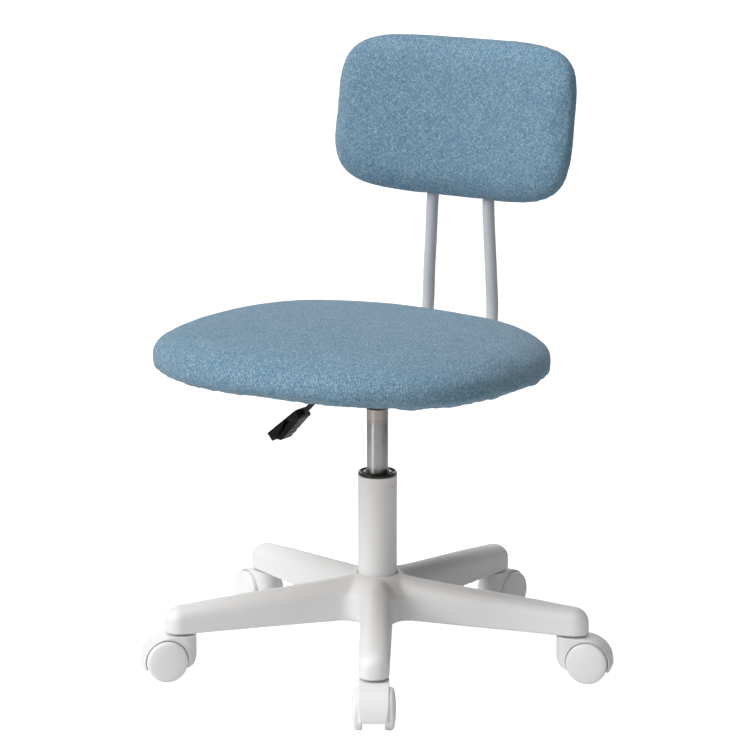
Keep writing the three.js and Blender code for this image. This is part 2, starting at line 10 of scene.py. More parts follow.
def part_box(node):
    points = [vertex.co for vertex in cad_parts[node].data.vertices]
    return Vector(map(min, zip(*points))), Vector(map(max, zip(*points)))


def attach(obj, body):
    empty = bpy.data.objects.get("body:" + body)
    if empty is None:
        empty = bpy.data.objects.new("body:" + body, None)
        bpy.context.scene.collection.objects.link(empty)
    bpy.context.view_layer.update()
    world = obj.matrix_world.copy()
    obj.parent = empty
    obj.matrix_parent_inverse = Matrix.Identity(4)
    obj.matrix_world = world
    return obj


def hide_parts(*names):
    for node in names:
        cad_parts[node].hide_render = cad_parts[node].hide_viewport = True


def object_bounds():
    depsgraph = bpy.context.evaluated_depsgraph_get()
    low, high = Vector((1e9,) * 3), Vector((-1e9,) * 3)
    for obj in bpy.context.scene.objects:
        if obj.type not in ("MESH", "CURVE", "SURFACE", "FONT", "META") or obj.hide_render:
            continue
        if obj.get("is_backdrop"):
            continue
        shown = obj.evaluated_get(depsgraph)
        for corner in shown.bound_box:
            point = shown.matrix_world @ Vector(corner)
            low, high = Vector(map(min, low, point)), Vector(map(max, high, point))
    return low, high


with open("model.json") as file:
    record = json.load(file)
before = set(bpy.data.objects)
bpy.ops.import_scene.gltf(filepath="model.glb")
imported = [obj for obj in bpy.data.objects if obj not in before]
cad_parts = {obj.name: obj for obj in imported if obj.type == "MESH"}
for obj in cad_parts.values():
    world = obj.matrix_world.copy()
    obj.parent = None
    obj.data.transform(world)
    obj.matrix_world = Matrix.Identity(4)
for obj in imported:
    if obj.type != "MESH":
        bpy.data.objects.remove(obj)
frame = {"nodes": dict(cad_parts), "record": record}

scene = bpy.context.scene
CAD_BOX = [list(v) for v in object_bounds()]

# ------------------------------------------------------------------ shared dimensions, millimetres about the lift column
lo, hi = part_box("outer_column")
AX, AY = (lo.x + hi.x) * 500, (lo.y + hi.y) * 500  # column axis in the row frame
AZ = lo.z * 1000 - 58.0  # the column stands on 58 in its own frame
TO_ROW = Matrix.Scale(0.001, 4) @ Matrix.Translation((AX, AY, AZ))
DEG = math.pi / 180
PLACES = ["front_left", "left", "rear", "right", "front_right"]
FIRST_LEG = 32.59
PIVOT_R = 261.8
LEG_BOTTOM = 65.0
LEG_TIP = 283.6
WHEEL_R, WHEEL_Z = 26.5, 30.8
TRAIL = 22.5
CASTER_TURNS = [0, 7, 0, 0, -3]
SEAT_W, SEAT_D, SEAT_N, SEAT_Y = 495.3, 419.2, 2.47, -58.9
SEAT_Z, SEAT_RISE, SEAT_DROP = 414.3, 51.5, 15.9
BOARD_Z0, BOARD_Z1, BOARD_INSET = 400.2, 408.2, 33.0
BACK_W, BACK_H, BACK_N = 357.0, 213.0, 4.27
BACK_Y, BACK_Z, BACK_LEAN, BACK_CURVE = 213.0, 688.6, 10.04, 0.00195
BACK_FRONT, BACK_REAR = 32.0, 13.0
TUBE_R, TUBE_WALL = 8.0, 1.5
TUBE_X = 51.0
TUBE_SCREWS_Y = (92.0, 113.0)
BACK_SCREWS_UP = (-62.0, -8.0)
BACK_TUBE_X = 42.0


def dome(u, m):
    return np.maximum(0.0, 1.0 - np.asarray(u, float) ** m) ** (1.0 / m)


def smoothstep(a, b, x):
    t = np.clip((np.asarray(x, float) - a) / (b - a), 0, 1)
    return t * t * (3 - 2 * t)


# ------------------------------------------------------------------ mesh tools
def new_object(name, verts, faces):
    me = bpy.data.meshes.new(name)
    me.from_pydata([tuple(float(c) for c in v) for v in verts], [], [tuple(int(i) for i in f) for f in faces])
    me.update(calc_edges=True)
    bm = bmesh.new()
    bm.from_mesh(me)
    bmesh.ops.recalc_face_normals(bm, faces=bm.faces)
    bm.to_mesh(me)
    bm.free()
    ob = bpy.data.objects.new(name, me)
    scene.collection.objects.link(ob)
    return ob


def applied(ob):
    """The object's modifiers go into its mesh."""
    bpy.context.view_layer.update()
    dg = bpy.context.evaluated_depsgraph_get()
    me = bpy.data.meshes.new_from_object(ob.evaluated_get(dg), depsgraph=dg)
    ob.modifiers.clear()
    old, ob.data = ob.data, me
    if old.users == 0:
        bpy.data.meshes.remove(old)
    return ob


def discard(ob):
    me = ob.data
    bpy.data.objects.remove(ob)
    if me.users == 0:
        bpy.data.meshes.remove(me)


def joined(name, obs):
    """One object of several shells."""
    verts, faces = [], []
    for ob in obs:
        base = len(verts)
        verts += [tuple(ob.matrix_world @ v.co) for v in ob.data.vertices]
        faces += [tuple(base + i for i in p.vertices) for p in ob.data.polygons]
        discard(ob)
    return new_object(name, verts, faces)


def boolean(ob, tool, op="DIFFERENCE", keep_tool=False):
    before = len(ob.data.vertices)
    for solver in ("MANIFOLD", "EXACT"):
        m = ob.modifiers.new("cut", "BOOLEAN")
        m.operation, m.object, m.solver = op, tool, solver
        bpy.context.view_layer.update()
        dg = bpy.context.evaluated_depsgraph_get()
        ev = ob.evaluated_get(dg)
        n = len(ev.data.vertices)
        if n > 8 and not (op == "DIFFERENCE" and n == before and solver == "MANIFOLD"):
            applied(ob)
            break
        ob.modifiers.clear()
    if not keep_tool:
        discard(tool)
    return ob


def remeshed(ob, voxel, relax=0, shrink_free=True):
    m = ob.modifiers.new("remesh", "REMESH")
    m.mode, m.voxel_size, m.adaptivity = "VOXEL", voxel, 0.0
    applied(ob)
    if relax:
        relaxed(ob, relax, shrink_free)
    return ob


def thinned(ob, ratio):
    """Fewer triangles where the surface is even."""
    m = ob.modifiers.new("thin", "DECIMATE")
    m.decimate_type, m.ratio = "COLLAPSE", ratio
    return applied(ob)


def arrays(ob):
    me = ob.data
    co = np.zeros(len(me.vertices) * 3)
    me.vertices.foreach_get("co", co)
    e = np.zeros(len(me.edges) * 2, np.int64)
    me.edges.foreach_get("vertices", e)
    return co.reshape(-1, 3), e.reshape(-1, 2)


def put(ob, co):
    ob.data.vertices.foreach_set("co", np.ascontiguousarray(co, float).ravel())
    ob.data.update()


def relaxed(ob, steps, shrink_free=True, weight=None):
    """Evens the surface out. With shrink_free each pass inwards is followed by one outwards."""
    co, e = arrays(ob)
    n = len(co)
    count = np.bincount(e.ravel(), minlength=n).astype(float)
    count[count == 0] = 1
    w = np.ones(n) if weight is None else weight(co)

    def step(co, f):
        s = np.zeros_like(co)
        for k in range(3):
            s[:, k] = np.bincount(e[:, 0], co[e[:, 1], k], n) + np.bincount(e[:, 1], co[e[:, 0], k], n)
        return co + (f * w)[:, None] * (s / count[:, None] - co)

    for _ in range(steps):
        co = step(co, 0.6)
        if shrink_free:
            co = step(co, -0.61)
    put(ob, co)
    return ob


def ring_faces(rings, close_v=False):
    """Faces between rings of vertex numbers; a ring of one repeated number is a pole."""
    faces = []
    pairs = list(zip(rings, rings[1:])) + ([(rings[-1], rings[0])] if close_v else [])
    for a, b in pairs:
        n = len(a)
        for j in range(n):
            k = (j + 1) % n
            f = []
            for i in (a[j], a[k], b[k], b[j]):
                if i not in f:
                    f.append(i)
            if len(f) > 2:
                faces.append(f)
    return faces


def lathe(name, profile, sides=72, close=False, shape=None):
    """A [radius, height] profile turned about the vertical axis. shape moves the points of each ring."""
    verts, rings = [], []
    for r, z in profile:
        if r < 1e-6:
            rings.append([len(verts)] * sides)
            verts.append((0, 0, z))
            continue
        rings.append(list(range(len(verts), len(verts) + sides)))
        for j in range(sides):
            a = 2 * math.pi * j / sides
            verts.append((r * math.cos(a), r * math.sin(a), z))
    if shape is not None:
        verts = [shape(*v) for v in verts]
    return new_object(name, verts, ring_faces(rings, close))


def rounded(points, radius=0.6, steps=3):
    """A profile with each inner corner cut to a small arc; the ends stay."""
    out = [points[0]]
    for a, b, c in zip(points, points[1:], points[2:]):
        a, b, c = (np.array(p, float) for p in (a, b, c))
        u, v = a - b, c - b
        lu, lv = np.linalg.norm(u), np.linalg.norm(v)
        if lu < 1e-6 or lv < 1e-6:
            continue
        d = min(radius, 0.4 * lu, 0.4 * lv)
        p, q = b + u / lu * d, b + v / lv * d
        for t in np.linspace(0, 1, steps + 1):
            out.append(tuple((1 - t) ** 2 * p + 2 * t * (1 - t) * b + t * t * q))
    out.append(points[-1])
    return out


def centripetal(points, every):
    """A smooth curve through points, sampled about every so many millimetres."""
    p = [np.array(q, float) for q in points]
    p = [2 * p[0] - p[1]] + p + [2 * p[-1] - p[-2]]
    out = []
    for i in range(1, len(p) - 2):
        p0, p1, p2, p3 = p[i - 1 : i + 3]
        t0 = 0.0
        t1 = t0 + np.linalg.norm(p1 - p0) ** 0.5
        t2 = t1 + np.linalg.norm(p2 - p1) ** 0.5
        t3 = t2 + np.linalg.norm(p3 - p2) ** 0.5
        n = max(2, int(np.linalg.norm(p2 - p1) / every))
        for t in np.linspace(t1, t2, n, endpoint=False):
            a1 = (t1 - t) / (t1 - t0) * p0 + (t - t0) / (t1 - t0) * p1
            a2 = (t2 - t) / (t2 - t1) * p1 + (t - t1) / (t2 - t1) * p2
            a3 = (t3 - t) / (t3 - t2) * p2 + (t - t2) / (t3 - t2) * p3
            b1 = (t2 - t) / (t2 - t0) * a1 + (t - t0) / (t2 - t0) * a2
            b2 = (t3 - t) / (t3 - t1) * a2 + (t - t1) / (t3 - t1) * a3
            out.append((t2 - t) / (t2 - t1) * b1 + (t - t1) / (t2 - t1) * b2)
    out.append(p[-2])
    return np.array(out)


def swept(name, path, profile_r, sides=28, inner=None, taper=None):
    """A round bar or tube along a path. inner gives a tube; taper is not used."""
    path = np.asarray(path, float)
    n = len(path)
    tang = np.gradient(path, axis=0)
    tang /= np.linalg.norm(tang, axis=1)[:, None]
    up = np.array([1.0, 0, 0]) if abs(tang[0][0]) < 0.9 else np.array([0, 1.0, 0])
    u = np.cross(tang[0], up)
    u /= np.linalg.norm(u)
    frames = []
    for i in range(n):
        u = u - tang[i] * (u @ tang[i])
        u /= np.linalg.norm(u)
        frames.append((u.copy(), np.cross(tang[i], u)))
    verts, rings = [], []

    def ring(i, r, shift=0.0):
        uu, vv = frames[i]
        rings.append(list(range(len(verts), len(verts) + sides)))
        for j in range(sides):
            a = 2 * math.pi * j / sides
            verts.append(path[i] + tang[i] * shift + r * (uu * math.cos(a) + vv * math.sin(a)))

    if inner is None:
        verts.append(path[0])
        rings.append([0] * sides)
        ring(0, profile_r - 0.5)
        ring(0, profile_r, 0.5)
        for i in range(1, n - 1):
            ring(i, profile_r)
        ring(n - 1, profile_r, -0.5)
        ring(n - 1, profile_r - 0.5)
        verts.append(path[-1])
        rings.append([len(verts) - 1] * sides)
        return new_object(name, verts, ring_faces(rings))
    ring(0, profile_r - 0.35)
    ring(0, profile_r, 0.35)
    for i in range(1, n - 1):
        ring(i, profile_r)
    ring(n - 1, profile_r, -0.35)
    ring(n - 1, profile_r - 0.35)
    ring(n - 1, inner + 0.25)
    ring(n - 1, inner, -0.3)
    for i in range(n - 2, 0, -1):
        ring(i, inner)
    ring(0, inner, 0.3)
    ring(0, inner + 0.25)
    return new_object(name, verts, ring_faces(rings, True))


def rod(a, b, r, sides=32):
    """A plain round cutter or blank between two points."""
    a, b = Vector(a), Vector(b)
    d = b - a
    ob = lathe("cutter", [(0, 0), (r, 0), (r, d.length), (0, d.length)], sides)
    ob.data.transform(Matrix.Translation(a) @ d.to_track_quat("Z", "Y").to_matrix().to_4x4())
    return ob


def prism(name, outline, z0, z1, matrix=None):
    n = len(outline)
    verts = [(x, y, z0) for x, y in outline] + [(x, y, z1) for x, y in outline]
    faces = [list(range(n))[::-1], list(range(n, 2 * n))]
    faces += [[j, (j + 1) % n, n + (j + 1) % n, n + j] for j in range(n)]
    ob = new_object(name, verts, faces)
    if matrix is not None:
        ob.data.transform(matrix)
    return ob


def bevelled(ob, width, segments=2, angle=30):
    m = ob.modifiers.new("bevel", "BEVEL")
    m.width, m.segments, m.limit_method, m.angle_limit = width, segments, "ANGLE", angle * DEG
    m.use_clamp_overlap = True
    return applied(ob)


def smooth(ob, angle=35):
    """Smooth shading, with edges sharper than the angle kept sharp."""
    bm = bmesh.new()
    bm.from_mesh(ob.data)
    for f in bm.faces:
        f.smooth = True
    for e in bm.edges:
        e.smooth = not (len(e.link_faces) == 2 and e.calc_face_angle(0) > angle * DEG)
    bm.to_mesh(ob.data)
    bm.free()
    return ob


def turned_to(k):
    return Matrix.Rotation((FIRST_LEG - 90 + 72 * k) * DEG, 4, "Z")


def at_caster(k):
    return turned_to(k) @ Matrix.Translation((PIVOT_R, 0, 0)) @ Matrix.Rotation(CASTER_TURNS[k] * DEG, 4, "Z")


def piece(ob, body, slot, material, *nodes, angle=35, in_row=False):
    """A finished piece: moved into the row frame, riding its body and standing for its nodes."""
    if not in_row:
        ob.data.transform(TO_ROW)
    ob.data.update()
    if angle:
        smooth(ob, angle)
    ob.data.materials.clear()
    ob.data.materials.append(material)
    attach(ob, body)
    if nodes:
        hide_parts(*nodes)
    return ob


def copy_of(ob, name, matrix):
    me = ob.data.copy()
    me.name = name
    me.transform(matrix)
    new = bpy.data.objects.new(name, me)
    scene.collection.objects.link(new)
    return new


# ------------------------------------------------------------------ materials
class Graph:
    def __init__(self, name):
        self.mat = bpy.data.materials.new(name)
        self.mat.use_nodes = True
        self.nt = self.mat.node_tree
        self.bsdf = next(n for n in self.nt.nodes if n.type == "BSDF_PRINCIPLED")

    def node(self, kind, **props):
        n = self.nt.nodes.new(kind)
        for k, v in props.items():
            setattr(n, k, v)
        return n

    def put(self, socket, value):
        if isinstance(value, bpy.types.NodeSocket):
            self.nt.links.new(value, socket)
        elif value is not None:
            socket.default_value = value

    def math(self, op, a, b=None, c=None, clamp=False):
        n = self.node("ShaderNodeMath", operation=op, use_clamp=clamp)
        for s, v in zip(n.inputs, (a, b, c)):
            self.put(s, v)
        return n.outputs[0]

    def vmath(self, op, a, b=None, scale=None):
        n = self.node("ShaderNodeVectorMath", operation=op)
        self.put(n.inputs[0], a)
        if b is not None:
            self.put(n.inputs[1], b)
        if scale is not None:
            self.put(n.inputs["Scale"], scale)
        return n.outputs[0]

    def noise(self, vector, scale, detail=2.0, rough=0.5, dims="3D", distortion=0.0):
        n = self.node("ShaderNodeTexNoise", noise_dimensions=dims)
        self.put(n.inputs["Vector"], vector)
        n.inputs["Scale"].default_value = scale
        n.inputs["Detail"].default_value = detail
        n.inputs["Roughness"].default_value = rough
        n.inputs["Distortion"].default_value = distortion
        return n.outputs[0]

    def ramp(self, value, stops, interpolation="LINEAR"):
        n = self.node("ShaderNodeValToRGB")
        n.color_ramp.interpolation = interpolation
        el = n.color_ramp.elements
        while len(el) < len(stops):
            el.new(0.5)
        for e, (p, c) in zip(el, stops):
            e.position = p
            e.color = (*c, 1) if len(c) == 3 else c
        self.put(n.inputs[0], value)
        return n.outputs[0]

    def span(self, value, low, high, to_low, to_high):
        n = self.node("ShaderNodeMapRange")
        for s, v in zip(n.inputs, (value, low, high, to_low, to_high)):
            self.put(s, v)
        return n.outputs[0]

    def mix(self, fac, a, b, blend="MIX"):
        n = self.node("ShaderNodeMix", data_type="RGBA", blend_type=blend)
        self.put(n.inputs[0], fac)
        self.put(n.inputs[6], a if isinstance(a, bpy.types.NodeSocket) else (*a, 1))
        self.put(n.inputs[7], b if isinstance(b, bpy.types.NodeSocket) else (*b, 1))
        return n.outputs[2]

    def bump(self, height, strength, distance, normal=None):
        n = self.node("ShaderNodeBump")
        n.inputs["Strength"].default_value = strength
        n.inputs["Distance"].default_value = distance
        self.put(n.inputs["Height"], height)
        if normal is not None:
            self.put(n.inputs["Normal"], normal)
        return n.outputs[0]

    def place(self):
        return self.node("ShaderNodeTexCoord").outputs["Object"]

    def xyz(self, vector):
        n = self.node("ShaderNodeSeparateXYZ")
        self.put(n.inputs[0], vector)
        return n.outputs

    def join(self, x, y, z=0.0):
        n = self.node("ShaderNodeCombineXYZ")
        for s, v in zip(n.inputs, (x, y, z)):
            self.put(s, v)
        return n.outputs[0]

    def set(self, **values):
        for k, v in values.items():
            self.put(self.bsdf.inputs[k.replace("_", " ")], v)
        return self.mat


def srgb(r, g, b):
    def f(c):
        c /= 255
        return c / 12.92 if c <= 0.04045 else ((c + 0.055) / 1.055) ** 2.4

    return (f(r), f(g), f(b))


def fabric_material():
    """Heathered plain-woven upholstery cloth. The weave follows the cloth's own flat coordinates, kept on each vertex in metres."""
    g = Graph("heathered_cloth")
    a = g.node("ShaderNodeAttribute", attribute_type="GEOMETRY", attribute_name="weave")
    cloth = a.outputs["Vector"]
    wander = g.noise(cloth, 130.0, 2.0)
    x, y, _ = g.xyz(cloth)
    pitch = 0.00122
    push = g.math("MULTIPLY", g.math("SUBTRACT", wander, 0.5), 0.8)
    u = g.math("ADD", g.math("MULTIPLY", x, 1 / pitch), push)
    v = g.math("SUBTRACT", g.math("MULTIPLY", y, 1 / pitch), push)
    iu, iv = g.math("FLOOR", u), g.math("FLOOR", v)
    fu = g.math("SUBTRACT", g.math("SUBTRACT", u, iu), 0.5)
    fv = g.math("SUBTRACT", g.math("SUBTRACT", v, iv), 0.5)
    step = g.math("MODULO", g.math("ADD", g.math("ADD", iu, iv), 40000.0), 4.0)
    over = g.math("GREATER_THAN", step, 1.5)  # a two-and-two twill: 0 warp on top, 1 weft

    def yarn(across, along):
        round_ = g.math("SQRT", g.math("MAXIMUM", g.math("SUBTRACT", 1.0, g.math("MULTIPLY", g.math("MULTIPLY", across, across), 3.7)), 0.0))
        crown = g.math("SUBTRACT", 1.0, g.math("MULTIPLY", g.math("MULTIPLY", along, along), 2.4))
        return g.math("MULTIPLY", round_, crown)

    height = g.math("ADD",
        g.math("MULTIPLY", yarn(fu, fv), g.math("SUBTRACT", 1.0, over)),
        g.math("MULTIPLY", yarn(fv, fu), over))
    # each yarn is spun of light and dark fibre, so its colour drifts along it
    warp_tint = g.noise(g.join(g.math("MULTIPLY", iu, 7.31), g.math("MULTIPLY", v, 0.30)), 1.0, 2.5, 0.65, "2D")
    weft_tint = g.noise(g.join(g.math("MULTIPLY", u, 0.30), g.math("MULTIPLY", iv, 5.17)), 1.0, 2.5, 0.65, "2D")
    tint = g.math("ADD", g.math("MULTIPLY", warp_tint, g.math("SUBTRACT", 1.0, over)), g.math("MULTIPLY", weft_tint, over))
    cloudy = g.noise(cloth, 42.0, 3.0, 0.6)
    tint = g.math("ADD", tint, g.math("MULTIPLY", g.math("SUBTRACT", cloudy, 0.5), 0.12))
    tint = g.math("ADD", tint, g.math("MULTIPLY", g.math("SUBTRACT", over, 0.5), 0.07))
    colour = g.ramp(tint, [
        (0.24, srgb(84, 124, 151)),
        (0.42, srgb(103, 142, 168)),
        (0.52, srgb(124, 159, 182)),
        (0.62, srgb(150, 179, 197)),
        (0.80, srgb(192, 206, 216)),
    ])
    # painted shade: the colour is darkened where the weave lies low, between the yarn crowns, where shade falls
    depth = g.span(height, 0.0, 1.0, 0.72, 1.05)
    colour = g.mix(1.0, colour, g.join(depth, depth, depth), "MULTIPLY")
    fibre = g.noise(cloth, 5200.0, 2.0, 0.7)
    relief = g.math("ADD", height, g.math("MULTIPLY", fibre, 0.35))
    g.set(Base_Color=colour, Roughness=g.span(fibre, 0.3, 0.7, 0.82, 0.98), Normal=g.bump(relief, 0.75, 0.00035))
    g.bsdf.inputs["Sheen Weight"].default_value = 0.22
    g.bsdf.inputs["Sheen Roughness"].default_value = 0.45
    g.bsdf.inputs["Sheen Tint"].default_value = (0.95, 0.95, 0.98, 1)
    g.bsdf.inputs["Specular IOR Level"].default_value = 0.25
    return g.mat


def plastic_material(name, colour, rough, grain, spread=0.018, gloss=0.5):
    g = Graph(name)
    g.bsdf.inputs["Specular IOR Level"].default_value = gloss
    p = g.place()
    broad = g.noise(p, 9.0, 3.0, 0.6)
    fine = g.noise(p, 2600.0, 2.0, 0.6)
    pits = g.noise(p, 900.0, 3.0, 0.55)
    light = tuple(min(1.0, c * (1 + spread)) for c in colour)
    dark = tuple(c * (1 - spread) for c in colour)
    g.set(Base_Color=g.mix(g.span(broad, 0.3, 0.7, 0.0, 1.0), dark, light),
          Roughness=g.math("ADD", g.span(broad, 0.3, 0.7, rough - 0.05, rough + 0.05), g.span(fine, 0.2, 0.8, -0.03, 0.03)),
          Normal=g.bump(g.math("ADD", pits, g.math("MULTIPLY", fine, 0.5)), grain, 0.0004))
    return g.mat


def paint_material(name, colour, rough, peel):
    """Powder coat: orange peel with fine speckle."""
    g = Graph(name)
    p = g.place()
    speck = g.noise(p, 3200.0, 1.0, 0.5)
    wave = g.noise(p, 620.0, 2.0, 0.5)
    broad = g.noise(p, 14.0, 3.0, 0.6)
    dark = tuple(c * 0.965 for c in colour)
    g.set(Base_Color=g.mix(g.span(broad, 0.3, 0.7, 0.0, 1.0), dark, colour),
          Roughness=g.math("ADD", g.span(wave, 0.3, 0.7, rough - 0.04, rough + 0.06), g.span(speck, 0.2, 0.8, -0.03, 0.03)),
          Normal=g.bump(g.math("ADD", wave, g.math("MULTIPLY", speck, 0.35)), peel, 0.0005))
    g.bsdf.inputs["Coat Weight"].default_value = 0.12
    g.bsdf.inputs["Coat Roughness"].default_value = 0.25
    return g.mat


def steel_material(name, colour, rough, band=None):
    """Ground bar: fine rings round the axis, faint handling marks; band is a duller stretch of the surface."""
    g = Graph(name)
    p = g.place()
    x, y, z = g.xyz(p)
    rings = g.noise(g.join(g.math("MULTIPLY", x, 12.0), g.math("MULTIPLY", y, 12.0), g.math("MULTIPLY", z, 4200.0)), 1.0, 2.0, 0.6)
    smear = g.noise(g.join(g.math("MULTIPLY", x, 160.0), g.math("MULTIPLY", y, 160.0), g.math("MULTIPLY", z, 14.0)), 1.0, 3.0, 0.6)
    base = g.mix(g.span(smear, 0.3, 0.7, 0.0, 1.0), tuple(c * 0.86 for c in colour), colour)
    ro = g.math("ADD", g.span(rings, 0.3, 0.7, rough - 0.05, rough + 0.07), g.span(smear, 0.3, 0.7, -0.03, 0.04))
    if band is not None:
        low, high, tint, dull = band
        edge = g.math("MULTIPLY", g.span(z, low - 0.0003 + AZ / 1000, low + 0.0003 + AZ / 1000, 0.0, 1.0), g.span(z, high - 0.0003 + AZ / 1000, high + 0.0003 + AZ / 1000, 1.0, 0.0))
        patch = g.math("MULTIPLY", edge, g.span(smear, 0.25, 0.6, 0.55, 1.0))
        base = g.mix(patch, base, tint)
        ro = g.math("ADD", ro, g.math("MULTIPLY", edge, dull))
    g.set(Base_Color=base, Roughness=ro, Normal=g.bump(rings, 0.12, 0.0002))
    g.bsdf.inputs["Metallic"].default_value = 1.0
    if band is not None:
        g.bsdf.inputs["Anisotropic"].default_value = 0.85
        g.bsdf.inputs["Anisotropic Rotation"].default_value = 0.25
        g.put(g.bsdf.inputs["Tangent"], g.node("ShaderNodeTangent", direction_type="RADIAL", axis="Z").outputs[0])
    return g.mat


def board_material():
    """Bare plywood: long grain on the faces, thin plies on the edges."""
    g = Graph("plywood")
    p = g.place()
    x, y, z = g.xyz(p)
    grain = g.noise(g.join(g.math("MULTIPLY", x, 14.0), g.math("MULTIPLY", y, 190.0), g.math("MULTIPLY", z, 40.0)), 1.0, 5.0, 0.6, distortion=0.6)
    pores = g.noise(g.join(g.math("MULTIPLY", x, 60.0), g.math("MULTIPLY", y, 1500.0), g.math("MULTIPLY", z, 300.0)), 1.0, 2.0, 0.6)
    figure = g.noise(g.join(g.math("MULTIPLY", x, 2.2), g.math("MULTIPLY", y, 17.0), 0.0), 1.0, 3.0, 0.55, distortion=1.2)
    face = g.ramp(g.math("ADD", g.math("MULTIPLY", grain, 0.6), g.math("MULTIPLY", figure, 0.4)), [
        (0.30, (0.36, 0.22, 0.105)), (0.5, (0.52, 0.35, 0.19)), (0.68, (0.66, 0.48, 0.29))])
    ply = g.math("MODULO", g.math("MULTIPLY", z, 1 / 0.0026), 1.0)
    edge = g.ramp(ply, [(0.0, (0.28, 0.17, 0.08)), (0.12, (0.58, 0.41, 0.24)), (0.55, (0.5, 0.34, 0.19)), (0.62, (0.3, 0.19, 0.09))])
    normal = g.node("ShaderNodeNewGeometry").outputs["True Normal"]
    flat = g.span(g.math("ABSOLUTE", g.xyz(normal)[2]), 0.4, 0.7, 0.0, 1.0)
    g.set(Base_Color=g.mix(flat, edge, face), Roughness=g.span(grain, 0.3, 0.7, 0.62, 0.82),
          Normal=g.bump(g.math("ADD", pores, grain), 0.3, 0.0004))
    return g.mat


def rubber_material():
    g = Graph("rubber")
    p = g.place()
    n = g.noise(p, 1500.0, 3.0, 0.6)
    g.set(Base_Color=g.mix(n, (0.012, 0.012, 0.012), (0.035, 0.035, 0.036)), Roughness=g.span(n, 0.3, 0.7, 0.78, 0.93), Normal=g.bump(n, 0.3, 0.0003))
    return g.mat


CLOTH = fabric_material()
WHITE_PLASTIC = plastic_material("white_plastic", (0.83, 0.83, 0.833), 0.46, 0.10)
WHEEL_PLASTIC = plastic_material("wheel_plastic", (0.84, 0.84, 0.842), 0.40, 0.08)
WHITE_PAINT = paint_material("white_powder_coat", (0.90, 0.90, 0.902), 0.42, 0.14)
GREY_PAINT = paint_material("light_grey_powder_coat", (0.66, 0.665, 0.70), 0.38, 0.12)
BLACK_PLASTIC = plastic_material("black_plastic", (0.005, 0.005, 0.006), 0.40, 0.22, 0.12, 0.2)
BUSH_PLASTIC = plastic_material("black_bush_plastic", (0.004, 0.004, 0.004), 0.20, 0.06, 0.12)
BLACK_PAINT = paint_material("black_powder_coat", (0.008, 0.008, 0.009), 0.42, 0.22)
CYLINDER_STEEL = steel_material("ground_steel", (0.62, 0.625, 0.635), 0.34, (0.3205, 0.3385, (0.74, 0.70, 0.65), 0.16))
STEEL = steel_material("bright_steel", (0.62, 0.625, 0.63), 0.26)
DARK_STEEL = steel_material("zinc_plated_dark_steel", (0.16, 0.165, 0.17), 0.36)
RUBBER = rubber_material()
PLYWOOD = board_material()

BY_SLOT = {
    "white_plastic": WHITE_PLASTIC, "white_paint": WHITE_PAINT, "grey_paint": GREY_PAINT, "black_plastic": BLACK_PLASTIC,
    "black_paint": BLACK_PAINT, "steel": STEEL, "dark_steel": DARK_STEEL, "rubber": RUBBER, "board": PLYWOOD, "fabric": CLOTH,
}
SLOT_OF = {s["node"]: s["material_slot"] for s in frame["record"]["subparts"]}
for node, ob in frame["nodes"].items() if isinstance(frame["nodes"], dict) else []:
    made = BY_SLOT[SLOT_OF[node]]
    if len(ob.material_slots) == 0:
        ob.data.materials.append(made)
    for s in ob.material_slots:
        s.material = made


# ------------------------------------------------------------------ star base
CREST = np.array([[0, 121], [36, 120.5], [60, 117], [100, 113], [150, 109], [200, 105], [240, 101], [262, 99]], float)


def crest(u):
    if u <= 262:
        # a light average evens the joints of the straight stretches
        return float(np.mean([np.interp(u + d, CREST[:, 0], CREST[:, 1]) for d in (-9, -4.5, 0, 4.5, 9)])) if u < 250 else float(np.interp(u, CREST[:, 0], CREST[:, 1]))
    t = (u - 262) / (LEG_TIP + 0.9 - 262)
    return 78 + 21 * math.sqrt(max(0.0, 1 - t * t))


def half_width(u):
    w = 20.5 - 1.3 * u / 260
    if u < 265:
        return w
    t = (u - 265) / (LEG_TIP + 0.6 - 265)
    return w * math.sqrt(max(0.0, 1 - t * t))


def leg(stations, inset, steps):
    verts, rings = [], []
    for u in stations:
        top, half = crest(u) - inset, half_width(u) - inset
        side = LEG_BOTTOM + (top - LEG_BOTTOM) * 0.56
        floor = LEG_BOTTOM - (5 if inset else 0)
        ring = [(u, -half, floor), (u, 0, floor), (u, half, floor)]
        for t in (0.34, 0.67):
            ring.append((u, half, floor + (side - floor) * t))
        for i in range(steps + 1):
            a = math.pi * i / steps
            ring.append((u, half * math.cos(a), side + (top - side) * math.sin(a)))
        for t in (0.67, 0.34):
            ring.append((u, -half, floor + (side - floor) * t))
        rings.append(list(range(len(verts), len(verts) + len(ring))))
        verts += ring
    faces = ring_faces(rings)
    faces += [rings[0][::-1], rings[-1]]
    return new_object("leg", verts, faces)


